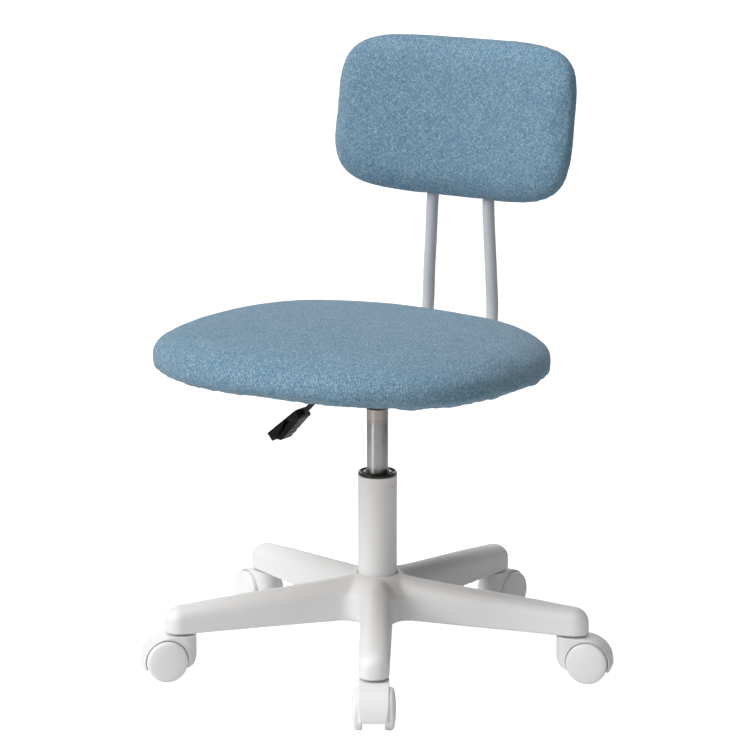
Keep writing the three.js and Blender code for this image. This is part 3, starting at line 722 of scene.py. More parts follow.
def star_base():
    stations = list(np.arange(12, 262, 8.0)) + list(262 + (LEG_TIP - 262) * np.sin(np.linspace(0, 90, 14) * DEG))
    shells = []
    hub = lathe("hub", [(0, 65), (35, 65), (35, 112), (34.4, 115.5), (33, 118.4), (31.2, 120.4), (29, 121.6), (26, 122.4), (0, 122.4)], 96)
    shells.append(hub)
    centre = 42.2 / math.sin(36 * DEG)
    for k in range(5):
        one = leg(stations, 0, 24)
        one.data.transform(turned_to(k))
        shells.append(one)
        # the web in the corner between two legs: it falls from the hub into the corner's arc
        c = np.array([centre * math.cos(36 * DEG), centre * math.sin(36 * DEG)])
        arc = [c + 22 * np.array([math.cos(a), math.sin(a)]) for a in np.linspace(-90, -198, 25) * DEG]
        start = np.array([6, 4.4])
        verts, n, m = [], len(arc), 9
        for level in (0, 1):
            for p in arc:
                for s in range(m + 1):
                    q = start + (p - start) * s / m
                    r = math.hypot(*q)
                    top = 98.5 + 21.5 * float(1 - smoothstep(30, 53, r))
                    verts.append((q[0], q[1], top if level else LEG_BOTTOM))
        idx = lambda level, j, s: (level * n + j) * (m + 1) + s
        faces = []
        for j in range(n - 1):
            for s in range(m):
                a = [idx(0, j, s), idx(0, j + 1, s), idx(0, j + 1, s + 1), idx(0, j, s + 1)]
                b = [idx(1, j, s), idx(1, j, s + 1), idx(1, j + 1, s + 1), idx(1, j + 1, s)]
                faces += [a, b]
            faces.append([idx(0, j, m), idx(0, j + 1, m), idx(1, j + 1, m), idx(1, j, m)])
        for s in range(m):
            faces.append([idx(0, 0, s), idx(0, 0, s + 1), idx(1, 0, s + 1), idx(1, 0, s)])
            faces.append([idx(0, n - 1, s + 1), idx(0, n - 1, s), idx(1, n - 1, s), idx(1, n - 1, s + 1)])
        web = new_object("web", verts, faces)
        bm = bmesh.new()
        bm.from_mesh(web.data)
        bmesh.ops.remove_doubles(bm, verts=bm.verts, dist=0.01)
        bmesh.ops.recalc_face_normals(bm, faces=bm.faces)
        bm.to_mesh(web.data)
        bm.free()
        web.data.transform(turned_to(k))
        shells.append(web)
    body = joined("star_base_moulding", shells)
    remeshed(body, 1.6)
    relaxed(body, 5, shrink_free=True)

    def by_hub(co):
        r = np.hypot(co[:, 0], co[:, 1])
        return (1 - smoothstep(52, 92, r)) * smoothstep(66, 72, co[:, 2])

    relaxed(body, 26, shrink_free=False, weight=by_hub)
    relaxed(body, 3, shrink_free=False)
    co, _ = arrays(body)
    co[:, 2] = np.where(co[:, 2] < 65.6, LEG_BOTTOM + (co[:, 2] - co[:, 2].min()) * 0.2, co[:, 2])
    put(body, co)
    cutters = []
    for k in range(5):
        inner = leg(list(np.linspace(50, 240, 20)), 4.0, 12)
        inner.data.transform(turned_to(k))
        cutters.append(inner)
        socket = lathe("socket", [(0, 58), (6.1, 58), (6.1, 92), (0, 92)], 32)
        socket.data.transform(at_caster(k))
        cutters.append(socket)
    cutters.append(lathe("bore", [(0, 55), (23.9, 55), (25.3, 118), (25.6, 119.6), (26.6, 120.4), (27.4, 121.4), (27.7, 130), (0, 130)], 96))
    boolean(body, joined("cutters", cutters))
    thinned(body, 0.42)
    return piece(body, "base", "white_plastic", WHITE_PLASTIC, "star_base", angle=40)


star_base()


# ------------------------------------------------------------------ casters
def hood_mesh():
    side = np.array([(9, 61.8), (16, 61.75), (23, 61.0), (30, 59.0), (37, 55.4), (43.2, 50.2), (48.2, 43.4), (51.4, 35.8), (52.8, 28)], float)
    curve = centripetal([(x, 0, z) for x, z in side], 1.6)[:, (0, 2)]
    outline = [tuple(p) for p in curve]
    outline += [(52.8, 24), (52.0, 21.2), (50.4, 19.9), (48.6, 19.5), (-2, 19.5), (-6, 20.8)]
    outline += [(-9.6, 21.9), (-12.5, 23.8), (-15.2, 26.6), (-17.2, 30.2), (-18.5, 33.6), (-19.2, 37.6), (-19.2, 61.8)]
    to_side = Matrix(((1, 0, 0, 0), (0, 0, 1, 0), (0, 1, 0, 0), (0, 0, 0, 1)))
    body = prism("hood", outline, -30, 30, to_side)
    plan = []
    for a in np.linspace(90, 270, 41) * DEG:
        plan.append((19 * math.cos(a), 19 * math.sin(a)))
    for a in np.linspace(-90, 0, 9) * DEG:
        plan.append((48.6 + 4.2 * math.cos(a), -14.8 + 4.2 * math.sin(a)))
    for a in np.linspace(0, 90, 9) * DEG:
        plan.append((48.6 + 4.2 * math.cos(a), 14.8 + 4.2 * math.sin(a)))
    boolean(body, prism("plan", plan, 4, 70), "INTERSECT")
    pockets = []
    for s in (1, -1):
        pockets.append(rod((TRAIL, s * 13.7, WHEEL_Z), (TRAIL, s * 40, WHEEL_Z), 27.4, 96))
    boolean(body, joined("pockets", pockets))
    remeshed(body, 0.75)
    relaxed(body, 3, shrink_free=False)
    relaxed(body, 3, shrink_free=True)
    cutters = [rod((0, 0, 29.6), (0, 0, 70), 6.0, 32), rod((TRAIL, -30, WHEEL_Z), (TRAIL, 30, WHEEL_Z), 3.4, 24)]
    boolean(body, joined("bores", cutters))
    thinned(body, 0.4)
    return body


def wheel_mesh(side):
    dome_ = [(26.5, 16.2), (26.5, 20.4), (26.35, 21.8), (25.9, 23.0), (25.1, 24.0), (23.8, 24.8), (21.6, 25.5), (18, 26.2), (14, 26.75), (9.5, 27.15), (5, 27.35), (2.2, 27.38), (1.6, 27.32), (1.1, 27.2), (0, 27.16)]
    profile = [(0, 24), (3.4, 24), (3.4, 14.6), (3.8, 14.2), (9.5, 14.2), (10.2, 14.5), (23.4, 14.5), (24.2, 14.2), (25.7, 14.3), (26.3, 14.9)] + dome_
    ob = lathe("wheel", profile, 80)
    # axle along y
    to_axle = Matrix.Translation((TRAIL, 0, WHEEL_Z)) @ Matrix(((1, 0, 0, 0), (0, 0, side, 0), (0, 1, 0, 0), (0, 0, 0, 1)))
    ob.data.transform(to_axle)
    bm = bmesh.new()
    bm.from_mesh(ob.data)
    bmesh.ops.recalc_face_normals(bm, faces=bm.faces)
    bm.to_mesh(ob.data)
    bm.free()
    return ob


def caster_parts():
    hood = hood_mesh()
    wheels = {"a": wheel_mesh(1), "b": wheel_mesh(-1)}
    stem = lathe("stem", [(0, 30), (5.1, 30), (5.5, 30.4), (5.5, 61.9), (8.1, 61.95), (8.5, 62.3), (8.5, 64.4), (8.1, 64.8), (5.6, 64.8), (5.6, 72), (5.1, 72.5), (5.1, 75.5), (5.6, 76), (5.5, 89.6), (4.4, 91), (0, 91)], 40)
    axle = lathe("axle", [(0, -23.6), (2.6, -23.6), (3.0, -23.2), (3.0, 23.2), (2.6, 23.6), (0, 23.6)], 32)
    axle.data.transform(Matrix.Translation((TRAIL, 0, WHEEL_Z)) @ Matrix.Rotation(math.pi / 2, 4, "X"))
    for k, place in enumerate(PLACES):
        body = f"caster_{place}"
        piece(copy_of(hood, f"{body}_hood_shell", at_caster(k)), body, "white_plastic", WHITE_PLASTIC, f"{body}_hood", angle=45)
        piece(copy_of(stem, f"{body}_stem_pin", at_caster(k)), body, "dark_steel", DARK_STEEL, f"{body}_stem")
        piece(copy_of(axle, f"{body}_axle_pin", at_caster(k)), body, "steel", STEEL, f"{body}_axle")
        for w, one in wheels.items():
            piece(copy_of(one, f"{body}_wheel_{w}_tyre", at_caster(k)), f"wheel_{place}_{w}", "white_plastic", WHEEL_PLASTIC, f"{body}_wheel_{w}", angle=40)
    for ob in [hood, stem, axle, *wheels.values()]:
        discard(ob)


caster_parts()


# ------------------------------------------------------------------ lift
def lift():
    dents = [(-3.5 + 120 * i) * DEG for i in range(3)]

    def dented(x, y, z):
        r, a = math.hypot(x, y), math.atan2(y, x)
        if r < 25:
            return (x, y, z)
        push = 0.0
        for d in dents:
            da = (a - d + math.pi) % (2 * math.pi) - math.pi
            push += 2.1 * math.exp(-(((da * 25.3 / 2.2) ** 2 + ((z - 241.0) / 2.6) ** 2) ** 1.5))
        return (x * (r - push) / r, y * (r - push) / r, z)

    heights = sorted(set([124.0 + i * 6 for i in range(18)] + list(np.arange(231, 251.2, 0.8))))
    wall = [(25.3, z) for z in heights if 124 <= z <= 250.6]
    column = lathe("outer_column_tube", [(5.6, 58), (23.2, 58), (23.6, 58.5), (25.0, 118)] + wall + [(25.25, 251.0), (25.0, 251.45), (24.5, 251.7), (23.4, 251.7), (22.9, 251.4), (22.8, 250.8), (22.8, 62), (5.6, 62)], 192, close=True, shape=dented)
    piece(column, "base", "white_paint", WHITE_PAINT, "outer_column", angle=50)
    bush = lathe("column_bush_ring", [(14.3, 178), (22.5, 178), (22.5, 251.85), (24.9, 251.9), (25.25, 252.2), (25.25, 254.9), (25.0, 255.8), (24.3, 256.3), (23.2, 256.3), (22.6, 255.8), (22.2, 254.4), (21.5, 253.6), (19.6, 253.6), (18.9, 254.3), (18.5, 255.6), (17.9, 256.2), (17.0, 256.3), (16.2, 256.0), (15.2, 255.3), (14.5, 254.4)], 96, close=True)
    piece(bush, "base", "black_plastic", BUSH_PLASTIC, "column_bush", angle=50)
    cylinder = lathe("gas_cylinder_body", [(5.4, 168), (12.6, 168), (13.2, 168.3), (14, 169.8), (14, 325.8), (13.93, 326.1), (13.98, 326.5), (13.95, 341), (13.32, 383.2), (12.9, 383.9), (12.3, 384), (3.4, 384), (3.4, 374), (12.2, 374), (12.2, 176), (5.4, 176)], 96, close=True)
    piece(cylinder, "seat", "steel", CYLINDER_STEEL, "gas_cylinder", angle=40)
    button = lathe("release_button_pin", [(0, 370), (3, 370), (3, 387.0), (2.8, 387.5), (2.3, 387.8), (0, 387.9)], 32)
    piece(button, "button", "dark_steel", DARK_STEEL, "release_button")
    rod_ = lathe("piston_rod_bar", [(0, 52), (3.6, 52), (4, 52.4), (4, 55.9), (3.2, 55.9), (3.2, 58), (4, 58), (4, 70.2), (5, 70.2), (5, 184.8), (0, 184.8)], 40)
    piece(rod_, "rod", "steel", STEEL, "piston_rod")
    socket = lathe("taper_socket_sleeve", rounded([(14.33, 339.6), (15.2, 339.4), (15.7, 340.0), (17, 346), (17, 368.3), (24, 368.3), (24, 371.5), (17, 371.5), (16.4, 378), (13.85, 378)], 0.35, 2), 96, close=True)
    piece(socket, "seat", "black_paint", BLACK_PAINT, "taper_socket")


lift()


# ------------------------------------------------------------------ screws
def screw_mesh(head_r, head_h, shank_r, length):
    """Pan head down, shank up, with a cross recess in the head. Head face at z = 0."""
    r, h = head_r, head_h
    profile = [(0, 0)] + [(r * math.sin(a), 0.42 * h * (1 - math.cos(a))) for a in np.linspace(12, 78, 9) * DEG]
    profile += [(r, 0.5 * h), (r, 0.92 * h), (r - 0.15, h), (shank_r + 0.01, h), (shank_r, h + 0.1)]
    z, pitch = h + 0.4, 1.2
    while z + pitch < length - 1.2:
        profile += [(shank_r, z), (shank_r - 0.32, z + pitch * 0.3), (shank_r - 0.32, z + pitch * 0.6), (shank_r, z + pitch * 0.9)]
        z += pitch
    profile += [(shank_r, z), (shank_r - 0.4, length), (0, length)]
    ob = lathe("screw", profile, 36)
    arms = []
    w, reach, deep = r * 0.13, r * 0.5, h * 0.62
    for turn in (0, 90):
        m = Matrix.Rotation((turn + 20) * DEG, 4, "Z")
        arms.append(prism("arm", [(-reach, -w), (reach, -w), (reach, w), (-reach, w)], -1, deep + (0.01 if turn else 0), m))
    a, b = arms
    boolean(a, b, "UNION")
    boolean(ob, a)
    return ob


def back_point(x, up, out):
    o = out - BACK_CURVE * x * x / 2
    c, s = math.cos(BACK_LEAN * DEG), math.sin(BACK_LEAN * DEG)
    return (x, o * c + up * s + BACK_Y, -o * s + up * c + BACK_Z)


def screws():
    m6 = screw_mesh(5.8, 3.7, 3.0, 11.6)
    for place, sx, sy in (("front_left", 1, -1), ("front_right", -1, -1), ("rear_left", 1, 1), ("rear_right", -1, 1)):
        ob = copy_of(m6, f"plate_screw_{place}_bolt", Matrix.Translation((sx * 45, sy * 55, 393.4)) @ Matrix.Rotation(sx * 0.7 + sy * 0.3, 4, "Z"))
        piece(ob, "seat", "dark_steel", DARK_STEEL, f"plate_screw_{place}")
    m5 = screw_mesh(4.2, 3.0, 2.5, 12.8)
    for name, side in (("left", 1), ("right", -1)):
        for i, place in enumerate(("front", "rear")):
            ob = copy_of(m5, f"tube_screw_{place}_{name}_bolt", Matrix.Translation((side * TUBE_X, TUBE_SCREWS_Y[i], 393.2)) @ Matrix.Rotation(side * 0.4 + i, 4, "Z"))
            piece(ob, "seat", "dark_steel", DARK_STEEL, f"tube_screw_{place}_{name}")
    m4 = screw_mesh(4.2, 3.0, 2.1, 11.8)
    for name, side in (("left", 1), ("right", -1)):
        for i, place in enumerate(("lower", "upper")):
            a = Vector(back_point(0, BACK_SCREWS_UP[i], 0.6))
            b = Vector(back_point(0, BACK_SCREWS_UP[i], -11.2))
            a.x = b.x = side * BACK_TUBE_X
            ob = copy_of(m4, f"back_screw_{place}_{name}_bolt", Matrix.Translation(a) @ (b - a).to_track_quat("Z", "Y").to_matrix().to_4x4())
            piece(ob, "seat", "dark_steel", DARK_STEEL, f"back_screw_{place}_{name}")
    for ob in (m6, m5, m4):
        discard(ob)


screws()


# ------------------------------------------------------------------ seat plate, pin and board
def superellipse(w, d, n, count):
    a = 2 * math.pi * np.arange(count) / count
    c, s = np.cos(a), np.sin(a)
    return np.stack([w / 2 * np.sign(c) * np.abs(c) ** (2 / n), d / 2 * np.sign(s) * np.abs(s) ** (2 / n)], 1)


def even_outline(w, d, n, count):
    p = superellipse(w, d, n, 2880)
    q = np.vstack([p, p[:1]])
    s = np.concatenate([[0], np.cumsum(np.linalg.norm(np.diff(q, axis=0), axis=1))])
    t = np.linspace(0, s[-1], count, endpoint=False)
    return np.stack([np.interp(t, s, q[:, 0]), np.interp(t, s, q[:, 1])], 1)


def seat_plate():
    """Pressed steel hat section with rolled inside and outside corners."""
    half_x, half_y, chan, bottom, top, t = 60.0, 75.0, 30.5, 365.5, 399.9, 2.5
    up = lambda pts, r: rounded(pts, r, 4)
    lower = up([(-half_y, top - t), (-chan, top - t), (-chan, bottom), (chan, bottom), (chan, top - t), (half_y, top - t)], 5.0)
    upper = up([(half_y, top), (chan - t, top), (chan - t, bottom + t), (-(chan - t), bottom + t), (-(chan - t), top), (-half_y, top)], 3.5)
    outline = lower + upper
    body = prism("seat_plate_pressing", outline, -half_x, half_x, Matrix(((0, 0, 1, 0), (1, 0, 0, 0), (0, 1, 0, 0), (0, 0, 0, 1))))
    corner = []
    for cx, cy, a0 in ((half_x - 9, half_y - 9, 0), (-half_x + 9, half_y - 9, 90), (-half_x + 9, -half_y + 9, 180), (half_x - 9, -half_y + 9, 270)):
        corner += [(cx + 9 * math.cos(a), cy + 9 * math.sin(a)) for a in np.linspace(a0, a0 + 90, 9) * DEG]
    boolean(body, prism("plan", corner, 350, 410), "INTERSECT")
    cutters = [rod((0, 0, 350), (0, 0, 380), 17.6, 64)]
    for x in (-45, 45):
        for y in (-55, 55):
            cutters.append(rod((x, y, 390), (x, y, 405), 3.6, 32))
    cutters.append(rod((-45, -40, 387), (-45, 40, 387), 3.4, 32))
    boolean(body, joined("holes", cutters))
    bevelled(body, 0.35, 2, 40)
    piece(body, "seat", "black_paint", BLACK_PAINT, "seat_plate", angle=35)


seat_plate()


def lever_pin():
    ob = lathe("lever_pin_rivet", [(0, -32.4), (3.4, -32.4), (4.3, -32.1), (4.6, -31.6), (4.6, -31.0), (4.4, -30.8), (3.0, -30.8), (3.0, 30.9), (2.6, 31.4), (0, 31.4)], 36)
    ob.data.transform(Matrix.Translation((-45, 0, 387)) @ Matrix(((1, 0, 0, 0), (0, 0, 1, 0), (0, -1, 0, 0), (0, 0, 0, 1))))
    piece(ob, "seat", "dark_steel", DARK_STEEL, "lever_pin")


lever_pin()


def seat_board():
    pts = even_outline(SEAT_W - 2 * BOARD_INSET, SEAT_D - 2 * BOARD_INSET, SEAT_N, 160)
    body = prism("seat_board_ply", [(x, y + SEAT_Y) for x, y in pts], BOARD_Z0, BOARD_Z1)
    cutters = []
    for x in (-45, 45):
        for y in (-55, 55):
            cutters.append(rod((x, y, 390), (x, y, 405.5), 3.4, 24))
    for x in (-TUBE_X, TUBE_X):
        for y in TUBE_SCREWS_Y:
            cutters.append(rod((x, y, 390), (x, y, 406.5), 2.8, 24))
    boolean(body, joined("holes", cutters))
    bevelled(body, 0.7, 2, 50)
    piece(body, "seat", "board", PLYWOOD, "seat_board", angle=35)


seat_board()


# ------------------------------------------------------------------ lever
GRIP_TOP = Vector((-113.5, 0, 320.1))
GRIP_DIR = Vector((-0.775, 0, -0.632)).normalized()
GRIP_UNDER = Vector((0.632, 0, -0.775)).normalized()


def lever():
    along = lambda s: tuple(GRIP_TOP + GRIP_DIR * s)
    path = centripetal([(8, 0, 392.2), (-20, 0, 390.6), (-45, 0, 387), (-56, 0, 381.4), (-66.5, 0, 371.6), (-85, 0, 349.6), along(0), along(14), along(28)], 1.6)
    bar = swept("lever_bar_rod", path, 3.5, 28)
    eye = lathe("eye", [(0, -12), (6.1, -12), (6.5, -11.6), (6.5, 11.6), (6.1, 12), (0, 12)], 48)
    eye.data.transform(Matrix.Translation((-45, 0, 387)) @ Matrix.Rotation(math.pi / 2, 4, "X"))
    boolean(bar, eye, "UNION")
    boolean(bar, rod((-45, -20, 387), (-45, 20, 387), 3.4, 32))
    piece(bar, "lever", "black_paint", BLACK_PAINT, "lever_bar", angle=30)

    # grip, drawn with x along it, y across it and z away from its underside, then laid on the bar
    L, W, T = 63.0, 14.0, 6.3
    to_side = Matrix(((1, 0, 0, 0), (0, 0, 1, 0), (0, 1, 0, 0), (0, 0, 0, 1)))
    side = [(1.4, -T), (L - 1.6, -T), (L, -T + 1.8), (L - 0.2, T - 1.4), (L - 1.4, T), (5, T), (1.2, T - 2.2), (0, T - 5), (0, -T + 1.4)]
    body = prism("lever_grip_paddle", side, -W, W, to_side)
    plan = []
    for cx, cy, a0, r in ((L - 5, W - 5, 0, 5), (8, W - 8, 90, 8), (8, -W + 8, 180, 8), (L - 5, -W + 5, 270, 5)):
        plan += [(cx + r * math.cos(a), cy + r * math.sin(a)) for a in np.linspace(a0, a0 + 90, 9) * DEG]
    boolean(body, prism("plan", plan, -14, 14), "INTERSECT")
    # the keel under it, deepest near the far end and stepped for the fingers
    keel = [(6, 0), (6, T + 0.2), (17, T + 1.7), (25.5, T + 2.7), (27, T + 3.5), (34, T + 3.7), (36, T + 4.9), (43.5, T + 5.2), (45.5, T + 6.1), (50.5, T + 5.9), (54.5, T + 1.6), (56, T - 1), (56, 0)]
    ridge = prism("lever_grip_keel", keel, -W + 2.6, W - 2.6, to_side)
    boolean(body, ridge, "UNION")
    remeshed(body, 0.5)
    relaxed(body, 2, shrink_free=False)
    relaxed(body, 1, shrink_free=True)
    boolean(body, rod((-8, 0, 0), (29, 0, 0), 4.1, 40))
    basis = Matrix((
        (GRIP_DIR.x, 0, GRIP_UNDER.x, GRIP_TOP.x),
        (GRIP_DIR.y, 1, GRIP_UNDER.y, GRIP_TOP.y),
        (GRIP_DIR.z, 0, GRIP_UNDER.z, GRIP_TOP.z),
        (0, 0, 0, 1)))
    body.data.transform(basis)
    bm = bmesh.new()
    bm.from_mesh(body.data)
    bmesh.ops.recalc_face_normals(bm, faces=bm.faces)
    bm.to_mesh(body.data)
    bm.free()
    thinned(body, 0.35)
    piece(body, "lever", "black_plastic", BLACK_PLASTIC, "lever_grip", angle=50)


lever()


# ------------------------------------------------------------------ back tubes
def tube_points(side, extra=0.0):
    z = BOARD_Z0 - 0.3 - TUBE_R
    path = [(side * TUBE_X, 84 - extra, z), (side * TUBE_X, 118, z), (side * TUBE_X, 153, z)]
    for a in (22.5, 45, 67.5, 90):
        path.append((side * (TUBE_X - a / 100), 153 + 45 * math.sin(a * DEG), z + 45 * (1 - math.cos(a * DEG))))
    path += [(side * 48, 197.8, 489), (side * 45.4, 197.6, 534), (side * 43.4, 197.5, 576)]
    for up in (-78, -30, 16 + extra):
        p = back_point(0, up, 2)
        path.append((side * BACK_TUBE_X, p[1], p[2]))
    return path


def back_tubes():
    for name, side in (("left", 1), ("right", -1)):
        tube = swept(f"back_tube_{name}_bar", centripetal(tube_points(side), 3.0), TUBE_R, 36, TUBE_R - TUBE_WALL)
        x = side * TUBE_X
        cutters = []
        for y in TUBE_SCREWS_Y:
            cutters.append(rod((x, y, 375), (x, y, 391), 4.8, 32))
            cutters.append(rod((x, y, 391.2), (x, y, 405), 2.8, 24))
        for up in BACK_SCREWS_UP:
            p = lambda out: (side * BACK_TUBE_X, *back_point(0, up, out)[1:])
            cutters.append(rod(p(2), p(14), 4.8, 32))
            cutters.append(rod(p(-9), p(1.8), 2.6, 24))
        boolean(tube, joined("holes", cutters))
        piece(tube, "seat", "grey_paint", GREY_PAINT, f"back_tube_{name}", angle=40)


back_tubes()


# ------------------------------------------------------------------ upholstery
def field(p, seed, scale):
    """A smooth wandering value from -1 to 1 at each point, from a few fixed sine waves."""
    rng = np.random.default_rng(seed)
    out = np.zeros(len(p))
    for _ in range(7):
        d = rng.normal(size=p.shape[1])
        d /= np.linalg.norm(d)
        out += np.sin(p @ d * (2 * math.pi / scale) * rng.uniform(0.6, 1.6) + rng.uniform(0, 6.283))
    return out / 3.2


def closed_pad(name, rings, count, w, d, n, place):
    """Rings of [share of the outline, height] on an even outline; the first and last are poles."""
    edge = even_outline(w, d, n, count)
    verts, idx = [], []
    for i, (u, h) in enumerate(rings):
        if u < 1e-6:
            idx.append([len(verts)] * count)
            verts.append(place(0, 0, h))
        else:
            idx.append(list(range(len(verts), len(verts) + count)))
            verts += [place(u * x, u * y, h) for x, y in edge]
    return new_object(name, verts, ring_faces(idx))


def swell(ob, pressure, frames, cap, pin):
    """The cover is filled and let settle as cloth, then no point may have moved further than cap."""
    start, _ = arrays(ob)
    group = ob.vertex_groups.new(name="pin")
    weight = pin(start)
    for i in np.nonzero(weight > 0.02)[0]:
        group.add([int(i)], float(weight[i]), "REPLACE")
    m = ob.modifiers.new("Cloth", "CLOTH")
    s = m.settings
    s.quality = 5
    s.mass = 0.25
    s.air_damping = 2.0
    s.tension_stiffness = s.compression_stiffness = 12
    s.shear_stiffness = 6
    s.bending_stiffness = 0.6
    s.tension_damping = s.compression_damping = s.shear_damping = 8
    s.use_pressure = True
    s.uniform_pressure_force = pressure
    s.vertex_group_mass = "pin"
    s.pin_stiffness = 3.0
    s.effector_weights.gravity = 0
    m.collision_settings.use_collision = False
    m.collision_settings.use_self_collision = False
    m.point_cache.frame_start, m.point_cache.frame_end = 1, frames
    for f in range(1, frames + 1):
        scene.frame_set(f)
    dg = bpy.context.evaluated_depsgraph_get()
    ev = ob.evaluated_get(dg)
    end = np.zeros(len(start) * 3)
    ev.data.vertices.foreach_get("co", end)
    end = end.reshape(-1, 3)
    ob.modifiers.clear()
    scene.frame_set(1)
    move = end - start
    far = np.linalg.norm(move, axis=1)
    move *= np.minimum(1.0, cap / np.maximum(far, 1e-9))[:, None]
    print("swell", ob.name, "mean", round(float(far.mean()) * 1000, 2), "max", round(float(far.max()) * 1000, 2), flush=True)
    put(ob, start + move)
    return ob


def normals_of(ob):
    me = ob.data
    n = np.zeros(len(me.vertices) * 3)
    me.vertices.foreach_get("normal", n)
    return n.reshape(-1, 3)


def subdivided(ob):
    m = ob.modifiers.new("smooth", "SUBSURF")
    m.subdivision_type, m.levels, m.render_levels = "CATMULL_CLARK", 1, 1
    return applied(ob)


def set_weave(ob, coords):
    at = ob.data.attributes.get("weave") or ob.data.attributes.new("weave", "FLOAT_VECTOR", "POINT")
    full = np.zeros((len(coords), 3), np.float32)
    full[:, : coords.shape[1]] = coords
    at.data.foreach_set("vector", full.ravel())


def under_seat(u):
    """Height of the cover under the rim: it is drawn tight under the board."""
    return SEAT_Z - SEAT_DROP * dome(u, 5.11) - 1.5 * (1 - smoothstep(0.90, 0.955, u))


def gauge(x, y, w, d, n):
    return (np.abs(x / (w / 2)) ** n + np.abs(y / (d / 2)) ** n) ** (1 / n)


def flat_cloth(x, y, height, u, w, d, rise, rise_m, drop, drop_m):
    """Where a point of the cover lay before it was drawn over the edge: its way along the surface from the middle."""
    t = np.concatenate([np.linspace(0, 0.9, 120, endpoint=False), 1 - 0.1 * np.linspace(1, 0, 140) ** 3])
    mean = (w + d) / 4
    r = np.concatenate([t * mean, (t * mean)[::-1]])
    h = np.concatenate([rise * dome(t, rise_m), (-drop * dome(t, drop_m))[::-1]])
    s = np.concatenate([[0], np.cumsum(np.hypot(np.diff(r), np.diff(h)))])
    out = np.zeros(len(x))
    for i in range(0, len(x), 4000):
        q = slice(i, i + 4000)
        dist = (u[q, None] * mean - r[None, :]) ** 2 + (height[q, None] - h[None, :]) ** 2
        out[q] = s[dist.argmin(axis=1)] + 0.0
    k = out / np.maximum(u * mean, 1e-4)
    return np.stack([x * k, y * k], 1)


LOW_EDGE = (
    (-263, -229, -213, -182, -167, -152, -130, -106, -63, -38, -17, -12, 12, 17, 28, 38, 52, 67, 82, 111, 126, 140, 156, 171, 186, 203, 215),
    (-2.4, -0.7, 0.4, 0.7, 1.2, 3.3, 3.5, 3.9, 2.9, 2.9, 5.0, 6.2, 6.2, 3.8, 0.6, -0.5, 0.2, -0.3, -1.4, -0.8, -1.8, -3.2, -1.4, -2.3, -2.8, -4.6, -5.0))


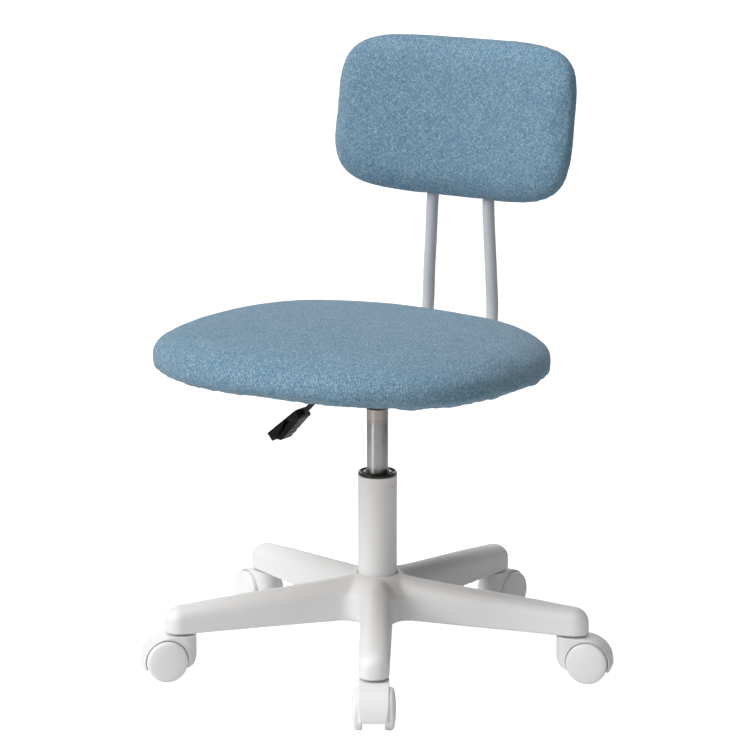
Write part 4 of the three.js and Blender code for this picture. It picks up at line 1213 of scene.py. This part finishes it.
def seat_cushion():
    rings = [(0, SEAT_Z - SEAT_DROP - 1.5)]
    for u in (0.12, 0.25, 0.4, 0.55, 0.68, 0.78, 0.85, 0.88, 0.905, 0.925, 0.945, 0.96, 0.972, 0.983, 0.992, 0.998):
        rings.append((u, float(under_seat(u))))
    # the cover starts lower and wider than it ends, as filling it draws its rim in and lifts its crown
    rise = SEAT_RISE - 5.9
    for u in (1.0, 0.9985, 0.995, 0.988, 0.978, 0.965, 0.948, 0.925, 0.895, 0.86, 0.82, 0.77, 0.7, 0.62, 0.53, 0.43, 0.32, 0.2, 0.1):
        rings.append((u, SEAT_Z + rise * float(dome(u, 2.73))))
    rings.append((0, SEAT_Z + rise))
    shrink = -2.7
    place = lambda x, y, z: (x, y + SEAT_Y, z)
    ob = closed_pad("seat_cushion_cover", rings, 168, SEAT_W - 2 * shrink, SEAT_D - 2 * shrink, SEAT_N, place)
    ob.data.transform(TO_ROW)
    remeshed(ob, 0.0046, 2, True)
    cx, cy = AX, AY + SEAT_Y  # middle of the seat, row millimetres
    rng = np.random.default_rng(7)
    # staples under the rim, unevenly spaced, each pulling the cover in
    edge = even_outline(SEAT_W, SEAT_D, SEAT_N, 1440)
    total = float(np.linalg.norm(np.diff(np.vstack([edge, edge[:1]]), axis=0), axis=1).sum())
    stations, s = [], 6.0
    while s < total - 14:
        stations.append(s)
        s += rng.uniform(21, 33)
    stations = np.array(stations)
    pulls = rng.uniform(0.55, 1.0, len(stations))
    arc_at = np.linspace(0, total, 1440, endpoint=False)
    edge_angle = np.unwrap(np.arctan2(edge[:, 1], edge[:, 0]))

    def arc_of(x, y):
        a = np.mod(np.arctan2(y, x), 2 * math.pi)
        base = edge_angle - edge_angle[0]
        start = edge_angle[0]
        return np.interp(np.mod(a - start, 2 * math.pi), base, arc_at, period=None)

    def near_staple(x, y, width):
        arc = arc_of(x, y)
        d = arc[:, None] - stations[None, :]
        d = (d + total / 2) % total - total / 2
        return (np.exp(-((d / width) ** 2)) * pulls[None, :]).max(axis=1)

    def pin(co):
        x, y, z = co[:, 0] * 1000 - cx, co[:, 1] * 1000 - cy, co[:, 2] * 1000 - AZ
        u = gauge(x, y, SEAT_W, SEAT_D, SEAT_N)
        under = z < SEAT_Z - 6
        held = np.where(under & (u < 0.86), 1.0, 0.0)
        held = np.maximum(held, np.where(under, (1 - smoothstep(0.9, 0.955, u)) * near_staple(x, y, 6.0), 0))
        return held

    swell(ob, 4.0, 16, 0.0032, pin)
    subdivided(ob)
    co, _ = arrays(ob)
    mm = co * 1000
    x, y, z = mm[:, 0] - cx, mm[:, 1] - cy, mm[:, 2] - AZ
    u = gauge(x, y, SEAT_W, SEAT_D, SEAT_N)
    nrm = normals_of(ob)
    # the rim's lower edge: fuller between the staples, with fine gathers running in towards them
    low = smoothstep(0.86, 0.945, u) * (1 - smoothstep(SEAT_Z - 6, SEAT_Z + 7, z))
    arc = arc_of(x, y)
    pulled = near_staple(x, y, 7.5)
    full = field(np.stack([np.cos(arc / total * 2 * math.pi) * total / 6.28, np.sin(arc / total * 2 * math.pi) * total / 6.28], 1), 3, 64.0)
    gather = field(np.stack([np.cos(arc / total * 2 * math.pi) * total / 6.28, np.sin(arc / total * 2 * math.pi) * total / 6.28], 1), 11, 11.0)
    shift = low * (0.5 + 0.75 * full - 1.25 * pulled + 0.34 * gather)
    turn = 33.54 * DEG
    sx = x * math.cos(turn) + (y + SEAT_Y) * math.sin(turn)
    near = smoothstep(-70, 20, x * math.sin(turn) - y * math.cos(turn))
    # the lower edge wanders a little: drawn higher over the lever and the column than beside them
    lift = np.interp(sx, LOW_EDGE[0], LOW_EDGE[1])
    low_rim = smoothstep(0.845, 0.885, u) * (1 - smoothstep(SEAT_Z - 9, SEAT_Z + 14, z))
    mm[:, 2] += near * lift * low_rim
    # the foam under the cover is not quite even
    shift += 0.45 * field(mm, 5, 150.0) + 0.16 * field(mm, 9, 52.0)
    mm = mm + nrm * shift[:, None]
    mm[:, :2] -= 0.9 * np.array([math.cos(turn), math.sin(turn)]) * smoothstep(0.7, 1.0, u)[:, None]
    on_board = (u < 1 - (BOARD_INSET - 5) / 228) & (z < SEAT_Z - 6)
    mm[:, 2] = np.where(on_board, np.minimum(mm[:, 2], AZ + BOARD_Z0 - 0.45), mm[:, 2])
    put(ob, mm / 1000)
    relaxed(ob, 1, True)
    co, _ = arrays(ob)
    x, y, z = co[:, 0] * 1000 - cx, co[:, 1] * 1000 - cy, co[:, 2] * 1000 - AZ
    u = gauge(x, y, SEAT_W, SEAT_D, SEAT_N)
    set_weave(ob, flat_cloth(x, y, z - SEAT_Z, u, SEAT_W, SEAT_D, SEAT_RISE, 2.73, SEAT_DROP, 5.11) / 1000)

    # the board lies in the foam, and the cover's raw edge ends on its underside
    rim = even_outline(SEAT_W - 2 * BOARD_INSET + 0.8, SEAT_D - 2 * BOARD_INSET + 0.8, SEAT_N, 160)
    pocket = prism("pocket", [(px, py + SEAT_Y) for px, py in rim], BOARD_Z0 - 0.12, BOARD_Z1 + 0.3)
    raw = even_outline(SEAT_W * 0.8, SEAT_D * 0.8, SEAT_N, 240)
    wander = field(raw, 21, 60.0) * 2.2 + field(raw, 22, 14.0) * 0.5
    raw = raw + raw / np.linalg.norm(raw, axis=1)[:, None] * wander[:, None]
    mouth = prism("mouth", [(px, py + SEAT_Y) for px, py in raw], 380, BOARD_Z0 + 2)
    boolean(pocket, mouth, "UNION")
    for side in (1, -1):
        boolean(pocket, swept("tube_room", centripetal(tube_points(side, 2)[:6], 3.0), TUBE_R + 0.12, 36), "UNION")
        for yy in TUBE_SCREWS_Y:
            boolean(pocket, rod((side * TUBE_X, yy, 396), (side * TUBE_X, yy, 402), 3.1, 24), "UNION")
    pocket.data.transform(TO_ROW)
    boolean(ob, pocket)
    piece(ob, "seat", "fabric", CLOTH, "seat_cushion", angle=60, in_row=True)

    # staples through the raw edge
    verts, faces = [], []
    for st, depth in zip(stations, pulls):
        i = int(np.argmin(np.abs(arc_at - st)))
        p = edge[i]
        tangent = edge[(i + 4) % len(edge)] - edge[i - 4]
        tangent /= np.linalg.norm(tangent)
        p = p * (0.845 + 0.012 * (depth - 0.8))
        if p[1] > 150 and abs(abs(p[0]) - TUBE_X) < 17:
            continue
        turn = (depth - 0.78) * 1.3
        c, sn = math.cos(turn), math.sin(turn)
        tangent = np.array([tangent[0] * c - tangent[1] * sn, tangent[0] * sn + tangent[1] * c])
        across = np.array([-tangent[1], tangent[0]])
        z1 = float(under_seat(0.845)) + 0.15
        for a, b in (((-5.2, 0.0), (5.2, 0.0)),):
            base = len(verts)
            sections = [(-5.2, 1.3, 0.25), (-5.15, 0.25, 0.5), (-4.7, -0.35, 0.55), (4.7, -0.35, 0.55), (5.15, 0.25, 0.5), (5.2, 1.3, 0.25)]
            ring = []
            for along_, dz, half in sections:
                centre = p + tangent * along_
                for e1, e2 in ((-1, -1), (1, -1), (1, 1), (-1, 1)):
                    if abs(along_) > 4.9:
                        q = centre + across * e1 * 0.55 + tangent * e2 * 0.28 * (1 if along_ > 0 else 1)
                        verts.append((q[0], q[1] + SEAT_Y, z1 + dz))
                    else:
                        q = centre + across * e1 * 0.55
                        verts.append((q[0], q[1] + SEAT_Y, z1 + dz + e2 * 0.28))
                ring.append([base + len(ring) * 4 + t for t in range(4)])
            faces += ring_faces(ring)
            faces += [ring[0][::-1], ring[-1]]
    staples = new_object("seat_cover_staples", verts, faces)
    piece(staples, "seat", "steel", STEEL, angle=40)


seat_cushion()


def back_local(co_mm):
    """Column-frame millimetres into the backrest's own x, up, out."""
    c, s = math.cos(BACK_LEAN * DEG), math.sin(BACK_LEAN * DEG)
    x = co_mm[:, 0]
    dy, dz = co_mm[:, 1] - BACK_Y, co_mm[:, 2] - BACK_Z
    up = dy * s + dz * c
    o = dy * c - dz * s
    return x, up, o + BACK_CURVE * x * x / 2


def back_cushion():
    rings = [(0, -BACK_FRONT)]
    for u in (0.12, 0.25, 0.38, 0.5, 0.6, 0.69, 0.77, 0.83, 0.88, 0.915, 0.94, 0.958, 0.972, 0.984, 0.992, 0.998):
        rings.append((u, -BACK_FRONT * float(dome(u, 3.5))))
    rings.append((1.0, 0.0))
    for u in (0.998, 0.99, 0.978, 0.962, 0.942, 0.918, 0.885, 0.84, 0.78, 0.7, 0.6, 0.5, 0.38, 0.25, 0.12):
        rings.append((u, BACK_REAR * float(dome(u, 3.2))))
    rings.append((0, BACK_REAR))
    shrink = -0.5
    ob = closed_pad("back_cushion_cover", rings, 132, BACK_W - 2 * shrink, BACK_H - 2 * shrink, BACK_N, back_point)
    ob.data.transform(TO_ROW)
    remeshed(ob, 0.0043, 2, True)
    to_col = lambda co: co * 1000 - np.array([AX, AY, AZ])
    SEAM = 0.945
    def pin(co):
        x, up, out = back_local(to_col(co))
        u = gauge(x, up, BACK_W, BACK_H, BACK_N)
        rear = out > 1.0
        return np.where(rear, np.exp(-(((u - SEAM) / 0.03) ** 2)), 0.0)

    swell(ob, 4.0, 16, 0.0028, pin)
    subdivided(ob)
    co, _ = arrays(ob)
    mm = to_col(co)
    x, up, out = back_local(mm)
    u = gauge(x, up, BACK_W, BACK_H, BACK_N)
    nrm = normals_of(ob)
    rear = out > 1.0
    # the rear panel's seam, with small puckers along it
    theta = np.arctan2(up / BACK_H, x / BACK_W)
    ripple = field(np.stack([np.cos(theta) * 160, np.sin(theta) * 160], 1), 31, 9.0)
    ripple2 = field(np.stack([np.cos(theta) * 160, np.sin(theta) * 160], 1), 33, 46.0)
    off = (u - SEAM) * (BACK_H / 2 + 20)
    groove = np.where(rear, np.exp(-((off / 1.5) ** 2)), 0)
    pucker = np.where(rear, np.exp(-((off / 6.0) ** 2)), 0)
    shift = -1.3 * groove + pucker * (0.22 * ripple + 0.25 * ripple2)
    shift += 0.38 * field(mm, 35, 120.0) + 0.14 * field(mm, 36, 46.0)
    # the cover draws in where each tube goes into it
    for side in (1, -1):
        q = np.array(tube_points(side)[10])
        bottom = np.array(back_point(side * 42.6, -BACK_H / 2, 2))
        d = np.linalg.norm((mm - bottom) * np.array([1, 1, 0.8]), axis=1)
        shift -= 1.5 * np.exp(-((d / 11.0) ** 2))
    mm = mm + nrm * shift[:, None]
    put(ob, (mm + np.array([AX, AY, AZ])) / 1000)
    relaxed(ob, 1, True)
    co, _ = arrays(ob)
    x, up, out = back_local(to_col(co))
    u = gauge(x, up, BACK_W, BACK_H, BACK_N)
    front = flat_cloth(x, up, -out, u, BACK_W, BACK_H, BACK_FRONT, 3.5, BACK_REAR, 3.2)
    panel = np.stack([x + 1000, up + 400], 1)
    is_panel = (out > 1.0) & (u < SEAM)
    set_weave(ob, np.where(is_panel[:, None], panel, front) / 1000)
    for side in (1, -1):
        path = centripetal(tube_points(side, 1.5)[8:], 3.0)
        room = swept("tube_room", path, TUBE_R + 0.35, 40)
        room.data.transform(TO_ROW)
        boolean(ob, room)
    piece(ob, "seat", "fabric", CLOTH, "back_cushion", angle=60, in_row=True)


back_cushion()


# ------------------------------------------------------------------ floor, light and camera
floor = new_object("floor", [(-60, -60, 0), (60, -60, 0), (60, 60, 0), (-60, 60, 0)], [[0, 1, 2, 3]])
g = Graph("pale_floor")
spot = g.place()
grain = g.math("MULTIPLY", g.math("SUBTRACT", g.noise(spot, 3.0, 2.0), 0.5), 0.03)
# painted pool of light: the floor is paler within 0.7 m of its middle and darker past 1.5 m, so it throws more light
# back near the chair
far = g.span(g.node("ShaderNodeVectorMath", operation="LENGTH").outputs["Value"], 0.7, 1.5, 0.92, 0.40)
g.put(far.node.inputs[0].links[0].from_node.inputs[0], spot)
tone_with_painted_pool = g.math("ADD", far, grain)
g.set(Base_Color=g.join(tone_with_painted_pool, tone_with_painted_pool, tone_with_painted_pool), Roughness=0.9)
g.bsdf.inputs["Specular IOR Level"].default_value = 0.0
g.bsdf.inputs["Emission Color"].default_value = (1, 1, 1, 1)
# the floor is lit from beneath where it is looked at, so that it stays pale
g.put(g.bsdf.inputs["Emission Strength"], g.math("MULTIPLY", g.node("ShaderNodeLightPath").outputs["Is Camera Ray"], 0.84))
floor.data.materials.append(g.mat)
floor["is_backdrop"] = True

VIEW_A = 33.54 * DEG
right = Vector((math.cos(VIEW_A), math.sin(VIEW_A), 0))
back = Vector((math.sin(VIEW_A), -math.cos(VIEW_A), 0))  # towards the camera


def sun(name, direction, strength, angle, colour=(1, 1, 1)):
    data = bpy.data.lights.new(name, "SUN")
    data.energy, data.angle, data.color = strength, angle * DEG, colour
    ob = bpy.data.objects.new(name, data)
    ob.rotation_euler = Vector(direction).to_track_quat("Z", "Y").to_euler()
    scene.collection.objects.link(ob)
    return ob


KEY_TURN, KEY_RISE = 63 * DEG, 34 * DEG
sun("key", (-right * math.sin(KEY_TURN) + back * math.cos(KEY_TURN)) * math.cos(KEY_RISE) + Vector((0, 0, math.sin(KEY_RISE))), 1.9, 40, (1.0, 0.998, 0.994))
sun("front", back - right * 0.25 + Vector((0, 0, 0.3)), 0.16, 60)
sun("overhead", -right * 0.25 + back * 0.15 + Vector((0, 0, 1)), 1.38, 50)



def card(name, centre, along, width, tall, value):
    """An upright sheet beside the set, seen only in reflections."""
    along = Vector(along).normalized() * width / 2
    c = Vector(centre)
    ob = new_object(name, [c - along, c + along, c + along + Vector((0, 0, tall)), c - along + Vector((0, 0, tall))], [[0, 1, 2, 3]])
    g = Graph(name)
    g.set(Base_Color=(value, value, value, 1) if value < 0.5 else (1, 1, 1, 1), Roughness=1.0)
    g.bsdf.inputs["Specular IOR Level"].default_value = 0.0
    if value > 0.5:
        g.bsdf.inputs["Emission Color"].default_value = (1, 1, 1, 1)
        g.bsdf.inputs["Emission Strength"].default_value = value
    ob.data.materials.append(g.mat)
    for kind in ("camera", "diffuse", "transmission", "volume_scatter", "shadow"):
        setattr(ob, "visible_" + kind, False)
    ob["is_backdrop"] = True
    return ob


card("dark_card", right * 1.3 + back * 0.25, back, 2.2, 1.4, 0.01)
card("light_card", (back * math.cos(50 * DEG) - right * math.sin(50 * DEG)) * 1.6, back * math.sin(50 * DEG) + right * math.cos(50 * DEG), 0.42, 1.6, 1.7)
card("back_card", back * -2.2, right, 2.6, 1.9, 0.9)
world = bpy.data.worlds.new("studio")
scene.world = world
world.use_nodes = True
nt = world.node_tree
nt.nodes.clear()
out = nt.nodes.new("ShaderNodeOutputWorld")
shade = nt.nodes.new("ShaderNodeBackground")
shade.inputs[0].default_value = (1, 1, 1, 1)
shade.inputs[1].default_value = 0.15
seen = nt.nodes.new("ShaderNodeBackground")
seen.inputs[0].default_value = (1, 1, 1, 1)
seen.inputs[1].default_value = 1.0
pick = nt.nodes.new("ShaderNodeMixShader")
ray = nt.nodes.new("ShaderNodeLightPath")
nt.links.new(ray.outputs["Is Camera Ray"], pick.inputs[0])
nt.links.new(shade.outputs[0], pick.inputs[1])
nt.links.new(seen.outputs[0], pick.inputs[2])
nt.links.new(pick.outputs[0], out.inputs[0])

cam_data = bpy.data.cameras.new("camera")
cam_data.lens, cam_data.sensor_width, cam_data.shift_x = 156.24, 36.0, -0.00327
cam = bpy.data.objects.new("camera", cam_data)
cam.location = (2.24494 + AX / 1000, -3.38669 + AY / 1000, 1.3082 + AZ / 1000)
cam.rotation_euler = (77.168 * DEG, 0, 33.54 * DEG)
cam_data.clip_end = 300
scene.collection.objects.link(cam)
scene.camera = cam
scene.view_settings.view_transform = "Standard"
scene.view_settings.look = "None"

bpy.context.view_layer.update()
{"cad": [[float(c) for c in v] for v in CAD_BOX], "visual": [[float(c) for c in v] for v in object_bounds()]}
